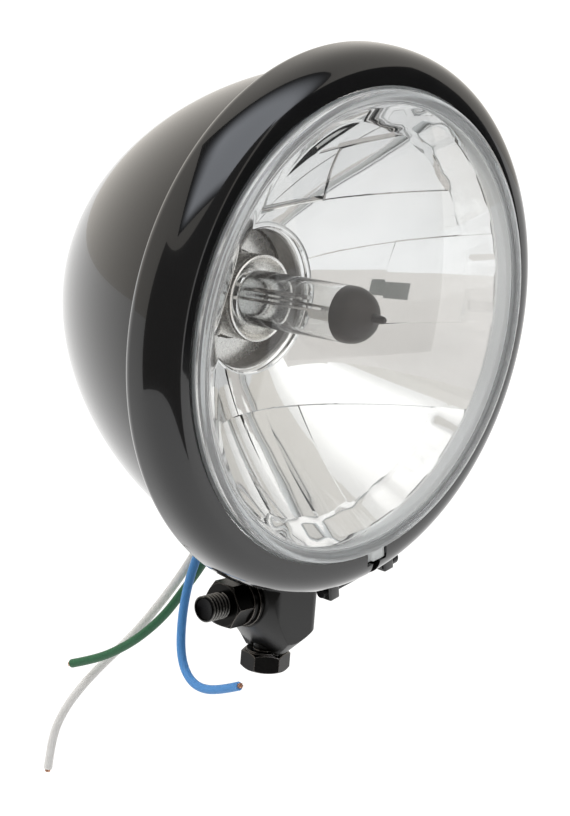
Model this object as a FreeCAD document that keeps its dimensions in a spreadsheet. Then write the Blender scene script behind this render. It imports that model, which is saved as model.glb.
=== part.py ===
import FreeCAD, Part
import math
import os
import re

import Sketcher
from FreeCAD import Placement, Rotation, Vector

# Motorcycle headlight for a single stud: a spun steel shell, a split trim ring that clamps the lens and
# reflector to it, a halogen bulb, three wires, and a block that carries the lamp on one upright bolt.
# Frame: the stud's axis lies along X, its nut's outer face is at the origin, the lens faces -Y and Z is up.
# Depths are measured back from the front of the trim ring, along the lens axis. Millimetres and degrees.
SIZES = {
    # Trim ring, rolled from sheet steel
    "lens_opening_radius": 70.0,
    "ring_roll_width": 10.85,
    "ring_widest_depth": 12.7,
    "ring_sheet": 1.2,
    "ring_fullness": 2.8,
    "ring_grip_clearance": 0.4,
    "ring_rear_clearance": 1.2,
    # Clamp at the ring's split, with its screw across two welded lugs
    "clamp_angle": 11.8,
    "split_width": 3.2,
    "notch_width": 8.4,
    "notch_height": 4.6,
    "notch_depth": 3.0,
    "lug_width": 4.2,
    "lug_front_depth": 8.8,
    "lug_rear_depth": 14.2,
    "lug_cover": 1.2,
    "lug_root": 0.2,
    "tapped_lug_offset": 9.9,
    "plain_lug_offset": 14.6,
    "screw_radius": 1.5,
    "screw_clearance": 0.35,
    "screw_hole_clearance": 0.05,
    "screw_head_radius": 2.6,
    "screw_head_height": 2.2,
    "screw_end_length": 1.5,
    # Lens, pressed clear with a flat rim
    "lens_rim_clearance": 0.4,
    "lens_rim_overlap": 3.5,
    "lens_rim_thickness": 3.5,
    "lens_shoulder_inset": 1.8,
    "lens_step": 1.4,
    "lens_rise": 13.3,
    "lens_wall": 3.2,
    "nub_width": 5.0,
    "nub_front_depth": 0.4,
    "lens_seal_thickness": 0.8,
    "lens_seal_width": 5.0,
    # Reflector, a stepped bowl with a flange and an inclined bulb neck
    "reflector_depth": 41.93,
    "reflector_edge_inset": 5.9,
    "reflector_wall": 3.2,
    "reflector_step": 0.9,
    "reflector_lip": 2.0,
    "reflector_flange_thickness": 2.0,
    "reflector_hole_radius": 22.6,
    "reflector_neck_wall": 1.9,
    "reflector_collar_length": 5.0,
    "reflector_collar_inset": 1.0,
    "reflector_neck_length": 6.5,
    "step_top_height": 43.9,
    "step_top_rise": 17.4,
    "step_upper_height": 26.8,
    "step_upper_rise": 9.1,
    "step_middle_height": 4.9,
    "step_middle_rise": 15.8,
    "step_lower_height": -14.0,
    "step_lower_rise": 7.0,
    "step_bottom_height": -32.0,
    "step_bottom_rise": 0.0,
    # Shell, spun from sheet steel with a turned-out front flange and a welded boss
    "shell_outset": 4.0,
    "shell_length": 89.7,
    "shell_side_fullness": 1.76,
    "shell_end_fullness": 1.64,
    "shell_sheet": 1.4,
    "shell_flange_width": 3.0,
    "gasket_thickness": 6.4,
    "gasket_inset": 0.5,
    "gasket_width": 3.5,
    "boss_radius": 10.5,
    "boss_height": 6.8,
    # Bulb, set in the neck at a slight upward angle
    "bulb_tilt": 3.6,
    "bulb_seat_setback": 5.5,
    "bulb_flange_radius": 22.6,
    "bulb_flange_thickness": 1.5,
    "bulb_collar_radius": 13.0,
    "bulb_collar_length": 11.5,
    "bulb_collar_wall": 0.8,
    "bulb_plug_length": 6.5,
    "bulb_ferrule_radius": 11.0,
    "bulb_ferrule_length": 8.0,
    "bulb_neck_clearance": 1.6,
    "insulator_radius": 10.5,
    "insulator_thickness": 3.5,
    "glass_radius": 8.4,
    "glass_wall": 1.1,
    "glass_centre": 46.8,
    "glass_seat_gap": 0.4,
    "nipple_radius": 1.2,
    "nipple_length": 4.4,
    "nipple_root_radius": 1.8,
    "shield_radius": 3.2,
    "shield_length": 9.0,
    "shield_sheet": 0.4,
    "shield_front": 42.0,
    "support_wire_radius": 0.45,
    "support_wire_spacing": 4.4,
    "support_wire_drop": 2.6,
    "filament_radius": 0.7,
    "filament_length": 5.0,
    "filament_gap": 3.5,
    # Terminals, plug and boot behind the bulb
    "blade_width": 8.0,
    "blade_thickness": 0.8,
    "blade_length": 12.0,
    "blade_offset": 6.5,
    "plug_width": 24.0,
    "plug_length": 20.0,
    "plug_corner": 3.0,
    "plug_gap": 0.6,
    "plug_slot_clearance": 0.1,
    "boot_wall": 2.2,
    "boot_clearance": 0.1,
    "boot_grip": 4.8,
    "boot_skirt": 10.5,
    "boot_length": 16.0,
    "boot_mouth_radius": 12.5,
    "clip_wire_radius": 0.75,
    "clip_half_width": 14.0,
    "clip_half_height": 17.0,
    "clip_corner": 5.0,
    "clip_clearance": 0.05,
    # Wire grommet low at the back of the shell
    "grommet_depth": 49.3,
    "grommet_waist_radius": 5.0,
    "grommet_clearance": 0.1,
    "grommet_flange_radius": 7.0,
    "grommet_flange_thickness": 2.0,
    "grommet_inner_gap": 0.6,
    "grommet_outer_gap": 0.1,
    "grommet_nose_radius": 5.2,
    "grommet_nose_length": 1.4,
    "wire_radius": 1.4,
    "wire_hole_clearance": 0.1,
    "wire_circle_radius": 2.3,
    "wire_exit_length": 8.0,
    "plug_exit_spacing": 4.5,
    "plug_exit_length": 5.2,
    "grommet_lead_in": 5.0,
    "core_radius": 0.85,
    "core_length": 0.5,
    # Mount block, upright bolt and cross stud
    "shell_standoff": 0.3,
    "bolt_depth": 28.1,
    "block_width": 22.0,
    "block_corner": 4.0,
    "block_above_stud": 7.6,
    "block_below_stud": 17.5,
    "block_foot_radius": 6.8,
    "block_face_radius": 8.5,
    "block_cone_length": 9.0,
    "neck_radius": 10.0,
    "neck_top_height": 13.0,
    "bolt_radius": 3.95,
    "bolt_clearance": 0.1,
    "bolt_head_height": 5.5,
    "bolt_face_radius": 6.0,
    "bolt_face_height": 0.6,
    "bolt_turn": 17.0,
    "bolt_end_length": 2.0,
    "across_flats": 13.0,
    "nut_height": 6.5,
    "nut_clearance": 0.05,
    "nut_chamfer_angle": 30.0,
    "washer_radius": 8.0,
    "washer_bore_radius": 4.2,
    "flat_washer_thickness": 1.6,
    "spring_washer_radius": 7.4,
    "spring_washer_thickness": 2.0,
    "spring_washer_split": 1.0,
    "stud_radius": 4.0,
    "stud_waist_radius": 3.5,
    "stud_free_length": 7.3,
    "stud_point": 0.6,
    "stud_depth_in_block": 6.4,
}

doc = FreeCAD.newDocument("headlight")
sheet = doc.addObject("Spreadsheet::Sheet", "sheet")
for row, (alias, number) in enumerate(SIZES.items(), 1):
    sheet.set("A%d" % row, alias)
    sheet.set("B%d" % row, str(number))
    sheet.setAlias("B%d" % row, alias)
doc.recompute()

# Lengths that follow from the sizes, written as formulas of the sheet's aliases
RING_OUTER = "(lens_opening_radius + ring_roll_width)"
SHELL_RADIUS = "(lens_opening_radius + shell_outset)"
LENS_HEIGHT = "(neck_top_height + shell_standoff + %s)" % SHELL_RADIUS
BOSS_TOP = "(neck_top_height + boss_height)"
LENS_RIM_FRONT = "(ring_sheet + lens_rim_clearance)"
LENS_RIM_RADIUS = "(lens_opening_radius + lens_rim_overlap)"
LENS_RIM_BACK = "(%s + lens_rim_thickness)" % LENS_RIM_FRONT
FLANGE_FRONT = "(%s + lens_seal_thickness)" % LENS_RIM_BACK
FLANGE_RADIUS = "(%s + reflector_lip)" % LENS_RIM_RADIUS
FLANGE_BACK = "(%s + reflector_flange_thickness)" % FLANGE_FRONT
SHELL_FRONT = "(%s + gasket_thickness)" % FLANGE_BACK
SHELL_FLANGE_RADIUS = "(%s + shell_flange_width)" % SHELL_RADIUS
RING_REAR = "(%s + shell_sheet + ring_grip_clearance + ring_sheet)" % SHELL_FRONT
REFLECTOR_EDGE = "(lens_opening_radius - reflector_edge_inset)"
FOCAL_LENGTH = "(%s ^ 2 / (4 * reflector_depth))" % REFLECTOR_EDGE
VERTEX = "(%s + reflector_depth)" % FLANGE_FRONT
BULB_SEAT = "(%s + bulb_seat_setback)" % VERTEX
NECK_INNER = "(reflector_hole_radius - bulb_neck_clearance)"
NECK_OUTER = "(reflector_hole_radius + reflector_neck_wall)"
WASHERS = "(flat_washer_thickness + spring_washer_thickness)"
BLOCK_FACE = "(nut_height + %s)" % WASHERS
REACH = "(%s + block_width / 2)" % BLOCK_FACE
CORNER_RADIUS = "(across_flats / 2 / cos(30))"
SCREW_RADIUS_OUT = "(%s + screw_radius + screw_clearance)" % RING_OUTER
INSULATOR_START = "(bulb_flange_thickness + bulb_ferrule_length)"
BLADE_START = "(%s + insulator_thickness)" % INSULATOR_START
BORE = "(bolt_radius + bolt_clearance)"
WIRE_HOLE = "(wire_radius + wire_hole_clearance)"
NAME = re.compile(r"[a-z_]+")


def expression(formula):
    """The formula with each size's alias pointed at the sheet."""
    return NAME.sub(lambda word: "sheet." + word[0] if word[0] in SIZES else word[0], formula)


def value(formula):
    """The formula's present value."""
    return float(sheet.evalExpression(expression(formula)))


# Places: the lens axis, the bulb's inclined axis, the upright bolt and the cross stud
X_AXIS = Vector(1, 0, 0)
Y_AXIS = Vector(0, 1, 0)
Z_AXIS = Vector(0, 0, 1)
HOME = Placement()
LENS = Placement(Vector(value(REACH), -value("bolt_depth"), value(LENS_HEIGHT)), Rotation(X_AXIS, -90))
BULB = LENS * Placement(Vector(0, 0, value(BULB_SEAT)), Rotation(X_AXIS, -value("bulb_tilt")))
CLAMP = LENS * Placement(Vector(), Rotation(Z_AXIS, -value("clamp_angle")))
BOLT = Placement(Vector(value(REACH), 0, 0), Rotation())
STUD = Placement(Vector(), Rotation(Y_AXIS, -90))
TO_X = Rotation(Y_AXIS, 90)


def moved(place, x=0.0, y=0.0, z=0.0, turn=None):
    """A place shifted, then turned, within its own axes."""
    return place * Placement(Vector(x, y, z), turn or Rotation())


def cylinder(name, radius, length, place):
    """A round bar along its place's Z."""
    bar = doc.addObject("Part::Cylinder", name)
    bar.setExpression("Radius", expression(radius))
    bar.setExpression("Height", expression(length))
    bar.Placement = place
    return bar


def centred_box(name, width, thickness, length, place):
    """A block whose width and thickness straddle its place's Z, and whose length runs along it."""
    block = doc.addObject("Part::Box", name)
    block.setExpression("Length", expression(width))
    block.setExpression("Width", expression(thickness))
    block.setExpression("Height", expression(length))
    block.Placement = moved(place, -value(width) / 2, -value(thickness) / 2)
    return block


def cut(label, base, tool):
    """The base with the tool's room taken out."""
    result = doc.addObject("Part::Cut", label)
    result.Base = base
    result.Tool = tool
    return result


def common(label, base, tool):
    """What the base and the tool share."""
    result = doc.addObject("Part::Common", label)
    result.Base = base
    result.Tool = tool
    return result


def fused(label, pieces):
    """Several solids welded into one."""
    result = doc.addObject("Part::MultiFuse", label)
    result.Shapes = pieces
    return result


def grouped(label, pieces):
    """Several loose solids of one kind."""
    result = doc.addObject("Part::Compound", label)
    result.Links = pieces
    return result


def feature(label, shape, place):
    """A sub-part whose form is worked out from the sheet's sizes."""
    result = doc.addObject("Part::Feature", label)
    result.Shape = shape
    result.Placement = place
    return result


def fix_corner(sketch, line, kind, axis, formula):
    """Holds one corner of a sketch at a distance that the sheet drives."""
    distance = value(formula)
    if distance == 0:
        sketch.addConstraint(Sketcher.Constraint("PointOnObject", line, 1, axis))
        return
    index = sketch.addConstraint(Sketcher.Constraint(kind, -1, 1, line, 1, distance))
    sketch.setExpression("Constraints[%d]" % index, expression(formula))


def outline_sketch(body, role, corners):
    """A closed sketch of straight lines through corners given as pairs of formulas."""
    sketch = body.newObject("Sketcher::SketchObject", body.Name + "_outline")
    planes = [plane for plane in body.Origin.OriginFeatures if plane.Role == role]
    sketch.AttachmentSupport = [(planes[0], "")]
    sketch.MapMode = "FlatFace"
    points = [Vector(value(across), value(along), 0) for across, along in corners]
    count = len(points)
    for line in range(count):
        sketch.addGeometry(Part.LineSegment(points[line], points[(line + 1) % count]))
    for line in range(count):
        sketch.addConstraint(Sketcher.Constraint("Coincident", line, 2, (line + 1) % count, 1))
    for line, (across, along) in enumerate(corners):
        fix_corner(sketch, line, "DistanceX", -2, across)
        fix_corner(sketch, line, "DistanceY", -1, along)
    return sketch


def turned(label, corners, place):
    """A body turned about its place's Z, from corners of radius and distance along Z."""
    body = doc.addObject("PartDesign::Body", label)
    sketch = outline_sketch(body, "XZ_Plane", corners)
    turning = body.newObject("PartDesign::Revolution", label + "_turning")
    turning.Profile = sketch
    turning.ReferenceAxis = (sketch, ["V_Axis"])
    turning.Angle = 360
    body.Placement = place
    return body


ALONG_TOLERANCE = 1e-6


def square_bar(label, width, corner, length, place):
    """A square bar along its place's Z with rounded long edges."""
    body = doc.addObject("PartDesign::Body", label)
    half = "%s / 2" % width
    corners = [("-" + half, "-" + half), (half, "-" + half), (half, half), ("-" + half, half)]
    sketch = outline_sketch(body, "XY_Plane", corners)
    pad = body.newObject("PartDesign::Pad", label + "_pad")
    pad.Profile = sketch
    pad.setExpression("Length", expression(length))
    doc.recompute()
    names = []
    for index, edge in enumerate(pad.Shape.Edges, 1):
        if edge.tangentAt(edge.FirstParameter).cross(Z_AXIS).Length < ALONG_TOLERANCE:
            names.append("Edge%d" % index)
    rounding = body.newObject("PartDesign::Fillet", label + "_rounding")
    rounding.Base = (pad, names)
    rounding.setExpression("Radius", expression(corner))
    body.Placement = place
    return body


def hexagon(label, height, bore, place):
    """A hexagon bar with both ends chamfered round its corners, bored if it is a nut."""
    bar = doc.addObject("Part::Prism", label + "_flats")
    bar.Polygon = 6
    bar.setExpression("Circumradius", expression(CORNER_RADIUS))
    bar.setExpression("Height", expression(height))
    bar.Placement = place
    drop = "(%s - across_flats / 2) * tan(nut_chamfer_angle)" % CORNER_RADIUS
    corners = [(bore, "0"), ("across_flats / 2", "0"), (CORNER_RADIUS, drop),
               (CORNER_RADIUS, "%s - %s" % (height, drop)), ("across_flats / 2", height), (bore, height)]
    return common(label, bar, turned(label + "_blank", corners, place))


def ring_of(label, inner, outer, thickness, place):
    """A flat ring."""
    corners = [(inner, "0"), (outer, "0"), (outer, thickness), (inner, thickness)]
    return turned(label, corners, place)


CURVE_POINTS = 13


def quarter(radius_from, depth_from, radius_to, depth_to, radial_fullness, axial_fullness):
    """A rounded quarter in the XZ plane: it starts square to the axis and ends along it."""
    points = []
    for step in range(CURVE_POINTS):
        angle = math.pi / 2 * step / (CURVE_POINTS - 1)
        across = math.sin(angle) ** (2 / radial_fullness)
        along = max(math.cos(angle), 0.0) ** (2 / axial_fullness) if step < CURVE_POINTS - 1 else 0.0
        radius = radius_from + (radius_to - radius_from) * across
        points.append(Vector(radius, 0, depth_to + (depth_from - depth_to) * along))
    curve = Part.BSplineCurve()
    toward_end = Vector(0, 0, math.copysign(1, depth_to - depth_from))
    curve.interpolate(Points=points, InitialTangent=X_AXIS, FinalTangent=toward_end)
    return curve.toShape()


def line(radius_a, depth_a, radius_b, depth_b):
    """A straight edge in the XZ plane."""
    return Part.makeLine(Vector(radius_a, 0, depth_a), Vector(radius_b, 0, depth_b))


def dome(edge_radius, edge_depth, apex_depth):
    """A round arc in the XZ plane from the axis to an edge."""
    rise = edge_depth - apex_depth
    sphere = (edge_radius ** 2 + rise ** 2) / (2 * rise)
    middle = edge_radius / 2
    middle_depth = apex_depth + sphere - math.sqrt(sphere ** 2 - middle ** 2)
    return Part.Arc(Vector(0, 0, apex_depth), Vector(middle, 0, middle_depth),
                    Vector(edge_radius, 0, edge_depth)).toShape()


def parabola(radius_a, radius_b, vertex):
    """The reflector's parabola in the XZ plane, exact as a curve with one middle pole."""
    four_focal = 4 * value(FOCAL_LENGTH)
    curve = Part.BezierCurve()
    curve.setPoles([Vector(radius_a, 0, vertex - radius_a ** 2 / four_focal),
                    Vector((radius_a + radius_b) / 2, 0, vertex - radius_a * radius_b / four_focal),
                    Vector(radius_b, 0, vertex - radius_b ** 2 / four_focal)])
    return curve.toShape()


def spun(edges):
    """The solid that a closed profile in the XZ plane sweeps about Z."""
    wire = Part.Wire(Part.__sortEdges__(edges))
    return Part.Face(wire).revolve(Vector(), Z_AXIS, 360)


def make_trim_ring():
    """The band's rounded section, split at the clamp, notched for the lens nub, with its two lugs."""
    opening = value("lens_opening_radius")
    outer = value(RING_OUTER)
    wall = value("ring_sheet")
    widest = value("ring_widest_depth")
    rear = value(RING_REAR)
    rear_radius = value(SHELL_RADIUS) + value("ring_rear_clearance")
    full = value("ring_fullness")
    band = spun([
        quarter(opening, 0, outer, widest, full, full),
        quarter(rear_radius, rear, outer, widest, 2, 2),
        line(rear_radius, rear, rear_radius, rear - wall),
        quarter(rear_radius, rear - wall, outer - wall, widest, 2, 2),
        quarter(opening, wall, outer - wall, widest, full, full),
        line(opening, wall, opening, 0),
    ])
    pieces = [feature("ring_band", band, LENS)]
    for name, near in (("tapped_lug", "tapped_lug_offset"), ("plain_lug", "plain_lug_offset")):
        inner_edge = "%s - lug_width / 2" % near
        foot = "sqrt((%s - ring_sheet) ^ 2 - (%s) ^ 2) + lug_root" % (RING_OUTER, inner_edge)
        side = -1 if name == "tapped_lug" else 1
        height = "%s + screw_radius + lug_cover - (%s)" % (SCREW_RADIUS_OUT, foot)
        place = moved(CLAMP, side * value(near), value(foot) + value(height) / 2, value("lug_front_depth"))
        pieces.append(centred_box(name, "lug_width", height, "lug_rear_depth - lug_front_depth", place))
    whole = fused("ring_with_lugs", pieces)
    front_margin = value("ring_sheet")
    split_place = moved(CLAMP, 0, outer, -front_margin)
    split = centred_box("ring_split", "split_width", "4 * ring_roll_width", "%s + 2 * ring_sheet" % RING_REAR,
                        split_place)
    notch_middle = value("lens_opening_radius + notch_height / 2 - ring_sheet / 2")
    notch_place = moved(CLAMP, 0, notch_middle, -front_margin)
    notch = centred_box("ring_notch", "notch_width", "notch_height + ring_sheet", "notch_depth + ring_sheet",
                        notch_place)
    hole_start = -2 * value("tapped_lug_offset")
    hole_place = moved(CLAMP, hole_start, value(SCREW_RADIUS_OUT), value(SCREW_DEPTH), TO_X)
    hole = cylinder("lug_holes", "screw_radius + screw_hole_clearance",
                    "2 * tapped_lug_offset + 2 * plain_lug_offset", hole_place)
    return cut("trim_ring", whole, fused("ring_cuts", [split, notch, hole]))


SCREW_DEPTH = "((lug_front_depth + lug_rear_depth) / 2)"


def make_trim_ring_screw():
    """The clamp screw: its head on the plain lug, its end just through the tapped one."""
    length = "plain_lug_offset + tapped_lug_offset + lug_width + screw_end_length"
    start = -value("tapped_lug_offset + lug_width / 2 + screw_end_length")
    top = "%s + screw_head_height" % length
    corners = [("0", "0"), ("screw_radius", "0"), ("screw_radius", length), ("screw_head_radius", length),
               ("screw_head_radius", top), ("0", top)]
    return turned("trim_ring_screw", corners,
                  moved(CLAMP, start, value(SCREW_RADIUS_OUT), value(SCREW_DEPTH), TO_X))


def make_lens():
    """A shallow dome of even wall on a flat rim, with the nub that keeps it from turning."""
    rim_front = value(LENS_RIM_FRONT)
    rim_back = value(LENS_RIM_BACK)
    rim = value(LENS_RIM_RADIUS)
    shoulder = value("lens_opening_radius - lens_shoulder_inset")
    shoulder_depth = rim_front - value("lens_step")
    apex = rim_front - value("lens_rise")
    inner = shoulder - value("lens_wall")
    shape = spun([
        dome(shoulder, shoulder_depth, apex),
        line(shoulder, shoulder_depth, shoulder, rim_front),
        line(shoulder, rim_front, rim, rim_front),
        line(rim, rim_front, rim, rim_back),
        line(rim, rim_back, inner, rim_back),
        dome(inner, rim_back, apex + value("lens_wall")),
        line(0, apex + value("lens_wall"), 0, apex),
    ])
    nub_middle = value("lens_opening_radius + (lens_rim_overlap - lens_shoulder_inset) / 2")
    nub_place = moved(CLAMP, 0, nub_middle, value("nub_front_depth"))
    nub = centred_box("lens_nub", "nub_width", "lens_rim_overlap + lens_shoulder_inset - ring_sheet / 2",
                      "%s - nub_front_depth" % LENS_RIM_BACK, nub_place)
    return fused("lens", [feature("lens_pressing", shape, LENS), nub])


def make_reflector():
    """Bands of one parabola, each set a step deeper or shallower, joined to the flange and bulb neck."""
    flange_front = value(FLANGE_FRONT)
    hole = value("reflector_hole_radius")
    wall = value("reflector_wall")
    four_focal = 4 * value(FOCAL_LENGTH)
    reach = value(SHELL_FLANGE_RADIUS)
    lower_sides = []
    for step in ("top", "upper", "middle", "lower", "bottom"):
        side = Part.makeBox(4 * reach, 4 * reach, 4 * reach, Vector(-2 * reach, 0, -2 * reach))
        turn = Rotation(Z_AXIS, -value("step_%s_rise" % step))
        side.Placement = Placement(Vector(0, -value("step_%s_height" % step), 0), turn)
        lower_sides.append(side)
    pieces = []
    for band in range(len(lower_sides) + 1):
        vertex = value(VERTEX) + value("reflector_step") * (band % 2)
        face_edge = math.sqrt(four_focal * (vertex - flange_front))
        back_edge = math.sqrt(four_focal * (vertex + wall - flange_front))
        bowl = spun([
            parabola(hole, face_edge, vertex),
            line(face_edge, flange_front, back_edge, flange_front),
            parabola(hole, back_edge, vertex + wall),
            line(hole, vertex - hole ** 2 / four_focal, hole, vertex + wall - hole ** 2 / four_focal),
        ])
        if band > 0:
            bowl = bowl.common(lower_sides[band - 1])
        if band < len(lower_sides):
            bowl = bowl.cut(lower_sides[band])
        pieces.append(bowl)
    deepest = value(VERTEX) + value("reflector_step")
    flange_inner = math.sqrt(four_focal * (deepest - flange_front))
    flange_outer = value(FLANGE_RADIUS)
    flange_back = value(FLANGE_BACK)
    pieces.append(spun([
        line(flange_inner, flange_front, flange_outer, flange_front),
        line(flange_outer, flange_front, flange_outer, flange_back),
        line(flange_outer, flange_back, flange_inner, flange_back),
        line(flange_inner, flange_back, flange_inner, flange_front),
    ]))
    collar_front = deepest - hole ** 2 / four_focal
    collar_radius = value(NECK_OUTER) - value("reflector_collar_inset")
    collar = Part.makeCylinder(collar_radius, value("reflector_collar_length"), Vector(0, 0, collar_front))
    pieces.append(collar.cut(Part.makeCylinder(hole, 2 * reach)))
    neck_length = value("reflector_neck_length")
    neck = Part.makeCylinder(value(NECK_OUTER), neck_length)
    neck = neck.cut(Part.makeCylinder(value(NECK_INNER), neck_length))
    neck.Placement = LENS.inverse() * moved(BULB, 0, 0, -neck_length)
    shape = pieces[0].fuse(pieces[1:] + [neck]).removeSplitter()
    return feature("reflector", shape, LENS)


def shell_profile(depth):
    """The shell's outer radius, and its slope, at a depth behind the ring's front."""
    share = (depth - value(SHELL_FRONT)) / value("shell_length")
    side = value("shell_side_fullness")
    end = value("shell_end_fullness")
    room = 1 - share ** end
    radius = value(SHELL_RADIUS) * room ** (1 / side)
    slope = radius / room / side * end * share ** (end - 1) / value("shell_length")
    return radius, slope


GROMMET_RADIUS, GROMMET_SLOPE = shell_profile(value("grommet_depth"))
GROMMET_WAY = Vector(0, 1, GROMMET_SLOPE).normalize()
GROMMET = LENS * Placement(Vector(0, GROMMET_RADIUS, value("grommet_depth")), Rotation(Z_AXIS, GROMMET_WAY))
GROMMET_NOSE = "(grommet_outer_gap + grommet_flange_thickness + grommet_nose_length)"
GROMMET_TAIL = "(shell_sheet + grommet_inner_gap + grommet_flange_thickness)"


def make_shell():
    """The spun cup with its turned-out flange, the welded boss, the bolt's bore and the wire hole."""
    front = value(SHELL_FRONT)
    wall = value("shell_sheet")
    outer = value(SHELL_RADIUS)
    flange = value(SHELL_FLANGE_RADIUS)
    end = front + value("shell_length")
    side_fullness = value("shell_side_fullness")
    end_fullness = value("shell_end_fullness")
    cup = spun([
        quarter(0, end, outer, front, side_fullness, end_fullness),
        line(outer, front, outer - wall, front),
        quarter(0, end - wall, outer - wall, front, side_fullness, end_fullness),
        line(0, end - wall, 0, end),
    ])
    lip = Part.makeCylinder(flange, wall, Vector(0, 0, front))
    lip = lip.cut(Part.makeCylinder(outer - wall / 2, 3 * wall, Vector(0, 0, front - wall)))
    cup = cup.fuse(lip).removeSplitter()
    boss = cylinder("shell_boss", "boss_radius", "boss_height",
                    moved(BOLT, 0, 0, value("neck_top_height")))
    whole = fused("shell_with_boss", [feature("shell_cup", cup, LENS), boss])
    bore = cylinder("shell_bore", BORE, LENS_HEIGHT, BOLT)
    hole = cylinder("shell_wire_hole", "grommet_waist_radius + grommet_clearance", "4 * grommet_waist_radius",
                    moved(GROMMET, 0, 0, -2 * value("grommet_waist_radius")))
    return cut("shell", whole, fused("shell_cuts", [bore, hole]))


def make_seals():
    """The bead that bonds the lens to the reflector, and the gasket between reflector and shell."""
    seal_outer = "%s - ring_sheet / 2" % LENS_RIM_RADIUS
    seal = ring_of("lens_seal", "%s - lens_seal_width" % seal_outer, seal_outer, "lens_seal_thickness",
                   moved(LENS, 0, 0, value(LENS_RIM_BACK)))
    gasket_outer = "%s - gasket_inset" % SHELL_FLANGE_RADIUS
    gasket = ring_of("seat_gasket", "%s - gasket_width" % gasket_outer, gasket_outer, "gasket_thickness",
                     moved(LENS, 0, 0, value(FLANGE_BACK)))
    return [seal, gasket]


def make_bulb_base():
    """The bulb's metal base: a collar round the glass, the seat flange and the rear ferrule."""
    inner = "bulb_collar_radius - bulb_collar_wall"
    rear = INSULATOR_START
    corners = [("0", "-bulb_plug_length"), (inner, "-bulb_plug_length"), (inner, "-bulb_collar_length"),
               ("bulb_collar_radius", "-bulb_collar_length"), ("bulb_collar_radius", "0"),
               ("bulb_flange_radius", "0"), ("bulb_flange_radius", "bulb_flange_thickness"),
               ("bulb_ferrule_radius", "bulb_flange_thickness"), ("bulb_ferrule_radius", rear), ("0", rear)]
    return turned("bulb_base", corners, BULB)


def make_bulb_glass():
    """A tube with a round end and the sealed-off nipple, open at the rear inside the base."""
    outer = value("glass_radius")
    inner = outer - value("glass_wall")
    centre = -value("glass_centre")
    front = centre - outer
    nipple = value("nipple_radius")
    tip = front - value("nipple_length")
    rear = -value("bulb_plug_length + glass_seat_gap")
    tube = spun([
        quarter(0, front, outer, centre, 2, 2),
        line(outer, centre, outer, rear),
        line(outer, rear, inner, rear),
        line(inner, rear, inner, centre),
        quarter(0, front + value("glass_wall"), inner, centre, 2, 2),
        line(0, front + value("glass_wall"), 0, front),
    ])
    round_tip = Part.makeSphere(nipple, Vector(0, 0, tip + nipple))
    stem = Part.makeCone(nipple, value("nipple_root_radius"), front - tip, Vector(0, 0, tip + nipple))
    return feature("bulb_glass", tube.fuse([round_tip, stem]).removeSplitter(), BULB)


def make_bulb_inside():
    """The shield under the front filament, the two filaments and the wires that hold them."""
    shield_place = moved(BULB, 0, 0, -value("shield_front"))
    cup = cylinder("shield_cup", "shield_radius", "shield_length", shield_place)
    hollow = cylinder("shield_hollow", "shield_radius - shield_sheet", "2 * shield_length",
                      moved(shield_place, 0, 0, -value("shield_length / 2")))
    cup.Angle = 180
    shield = cut("filament_shield", cup, hollow)
    drop = value("support_wire_drop")
    spacing = value("support_wire_spacing")
    wires = []
    beside = value("shield_radius + support_wire_radius")
    lengths = "shield_front - bulb_plug_length"
    for name, across in (("left_support", -beside), ("right_support", beside)):
        place = moved(BULB, across, 0, -value("shield_front"))
        wires.append(cylinder(name, "support_wire_radius", lengths, place))
    upper = "shield_front - shield_length - filament_gap - bulb_plug_length"
    for name, across in (("upper_left_support", -spacing / 2), ("upper_right_support", spacing / 2)):
        start = -value("shield_front - shield_length - filament_gap")
        wires.append(cylinder(name, "support_wire_radius", upper, moved(BULB, across, -drop, start)))
    low_start = -value("shield_front - (shield_length - filament_length) / 2")
    low_y = value("shield_radius - shield_sheet - filament_radius")
    high_start = -value("shield_front - shield_length - filament_gap")
    high_x = spacing / 2 - value("support_wire_radius + filament_radius")
    low_place = moved(BULB, 0, low_y, low_start)
    high_place = moved(BULB, high_x, -drop, high_start)
    coils = [
        cylinder("low_filament", "filament_radius", "filament_length", low_place),
        cylinder("high_filament", "filament_radius", "filament_length", high_place),
    ]
    return [shield, grouped("support_wires", wires), grouped("filaments", coils)]


def blade_set(prefix, width, thickness, length, start):
    """Three flat blades standing round a square: one across the top and one down each side."""
    offset = value("blade_offset")
    quarter_turn = Rotation(Z_AXIS, 90)
    return [
        centred_box(prefix + "_top", width, thickness, length, moved(BULB, 0, -offset, start)),
        centred_box(prefix + "_left", width, thickness, length, moved(BULB, -offset, 0, start, quarter_turn)),
        centred_box(prefix + "_right", width, thickness, length, moved(BULB, offset, 0, start, quarter_turn)),
    ]


def make_terminals():
    """The insulator with its blades, the plug pushed on them, the boot and the spring clip."""
    insulator = cylinder("bulb_insulator", "insulator_radius", "insulator_thickness",
                         moved(BULB, 0, 0, value(INSULATOR_START)))
    start = value(BLADE_START)
    pieces = blade_set("blade", "blade_width", "blade_thickness", "blade_length", start)
    blades = grouped("terminal_blades", pieces)
    plug_place = moved(BULB, 0, 0, start + value("plug_gap"))
    block = square_bar("plug_block", "plug_width", "plug_corner", "plug_length", plug_place)
    slots = blade_set("slot", "blade_width + 2 * plug_slot_clearance",
                      "blade_thickness + 2 * plug_slot_clearance",
                      "blade_length + plug_slot_clearance", start)
    plug = cut("plug_connector", block, fused("plug_slots", slots))
    inner = "%s + boot_clearance" % NECK_OUTER
    outer = "%s + boot_wall" % inner
    mouth = "boot_mouth_radius + boot_wall"
    corners = [(inner, "0"), (outer, "0"), (outer, "boot_skirt"), (mouth, "boot_length"),
               ("boot_mouth_radius", "boot_length"), ("boot_mouth_radius", "boot_length - boot_wall"),
               (inner, "boot_skirt - boot_wall")]
    boot = turned("rubber_boot", corners, moved(BULB, 0, 0, -value("boot_grip")))
    return [insulator, blades, plug, boot]


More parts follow.
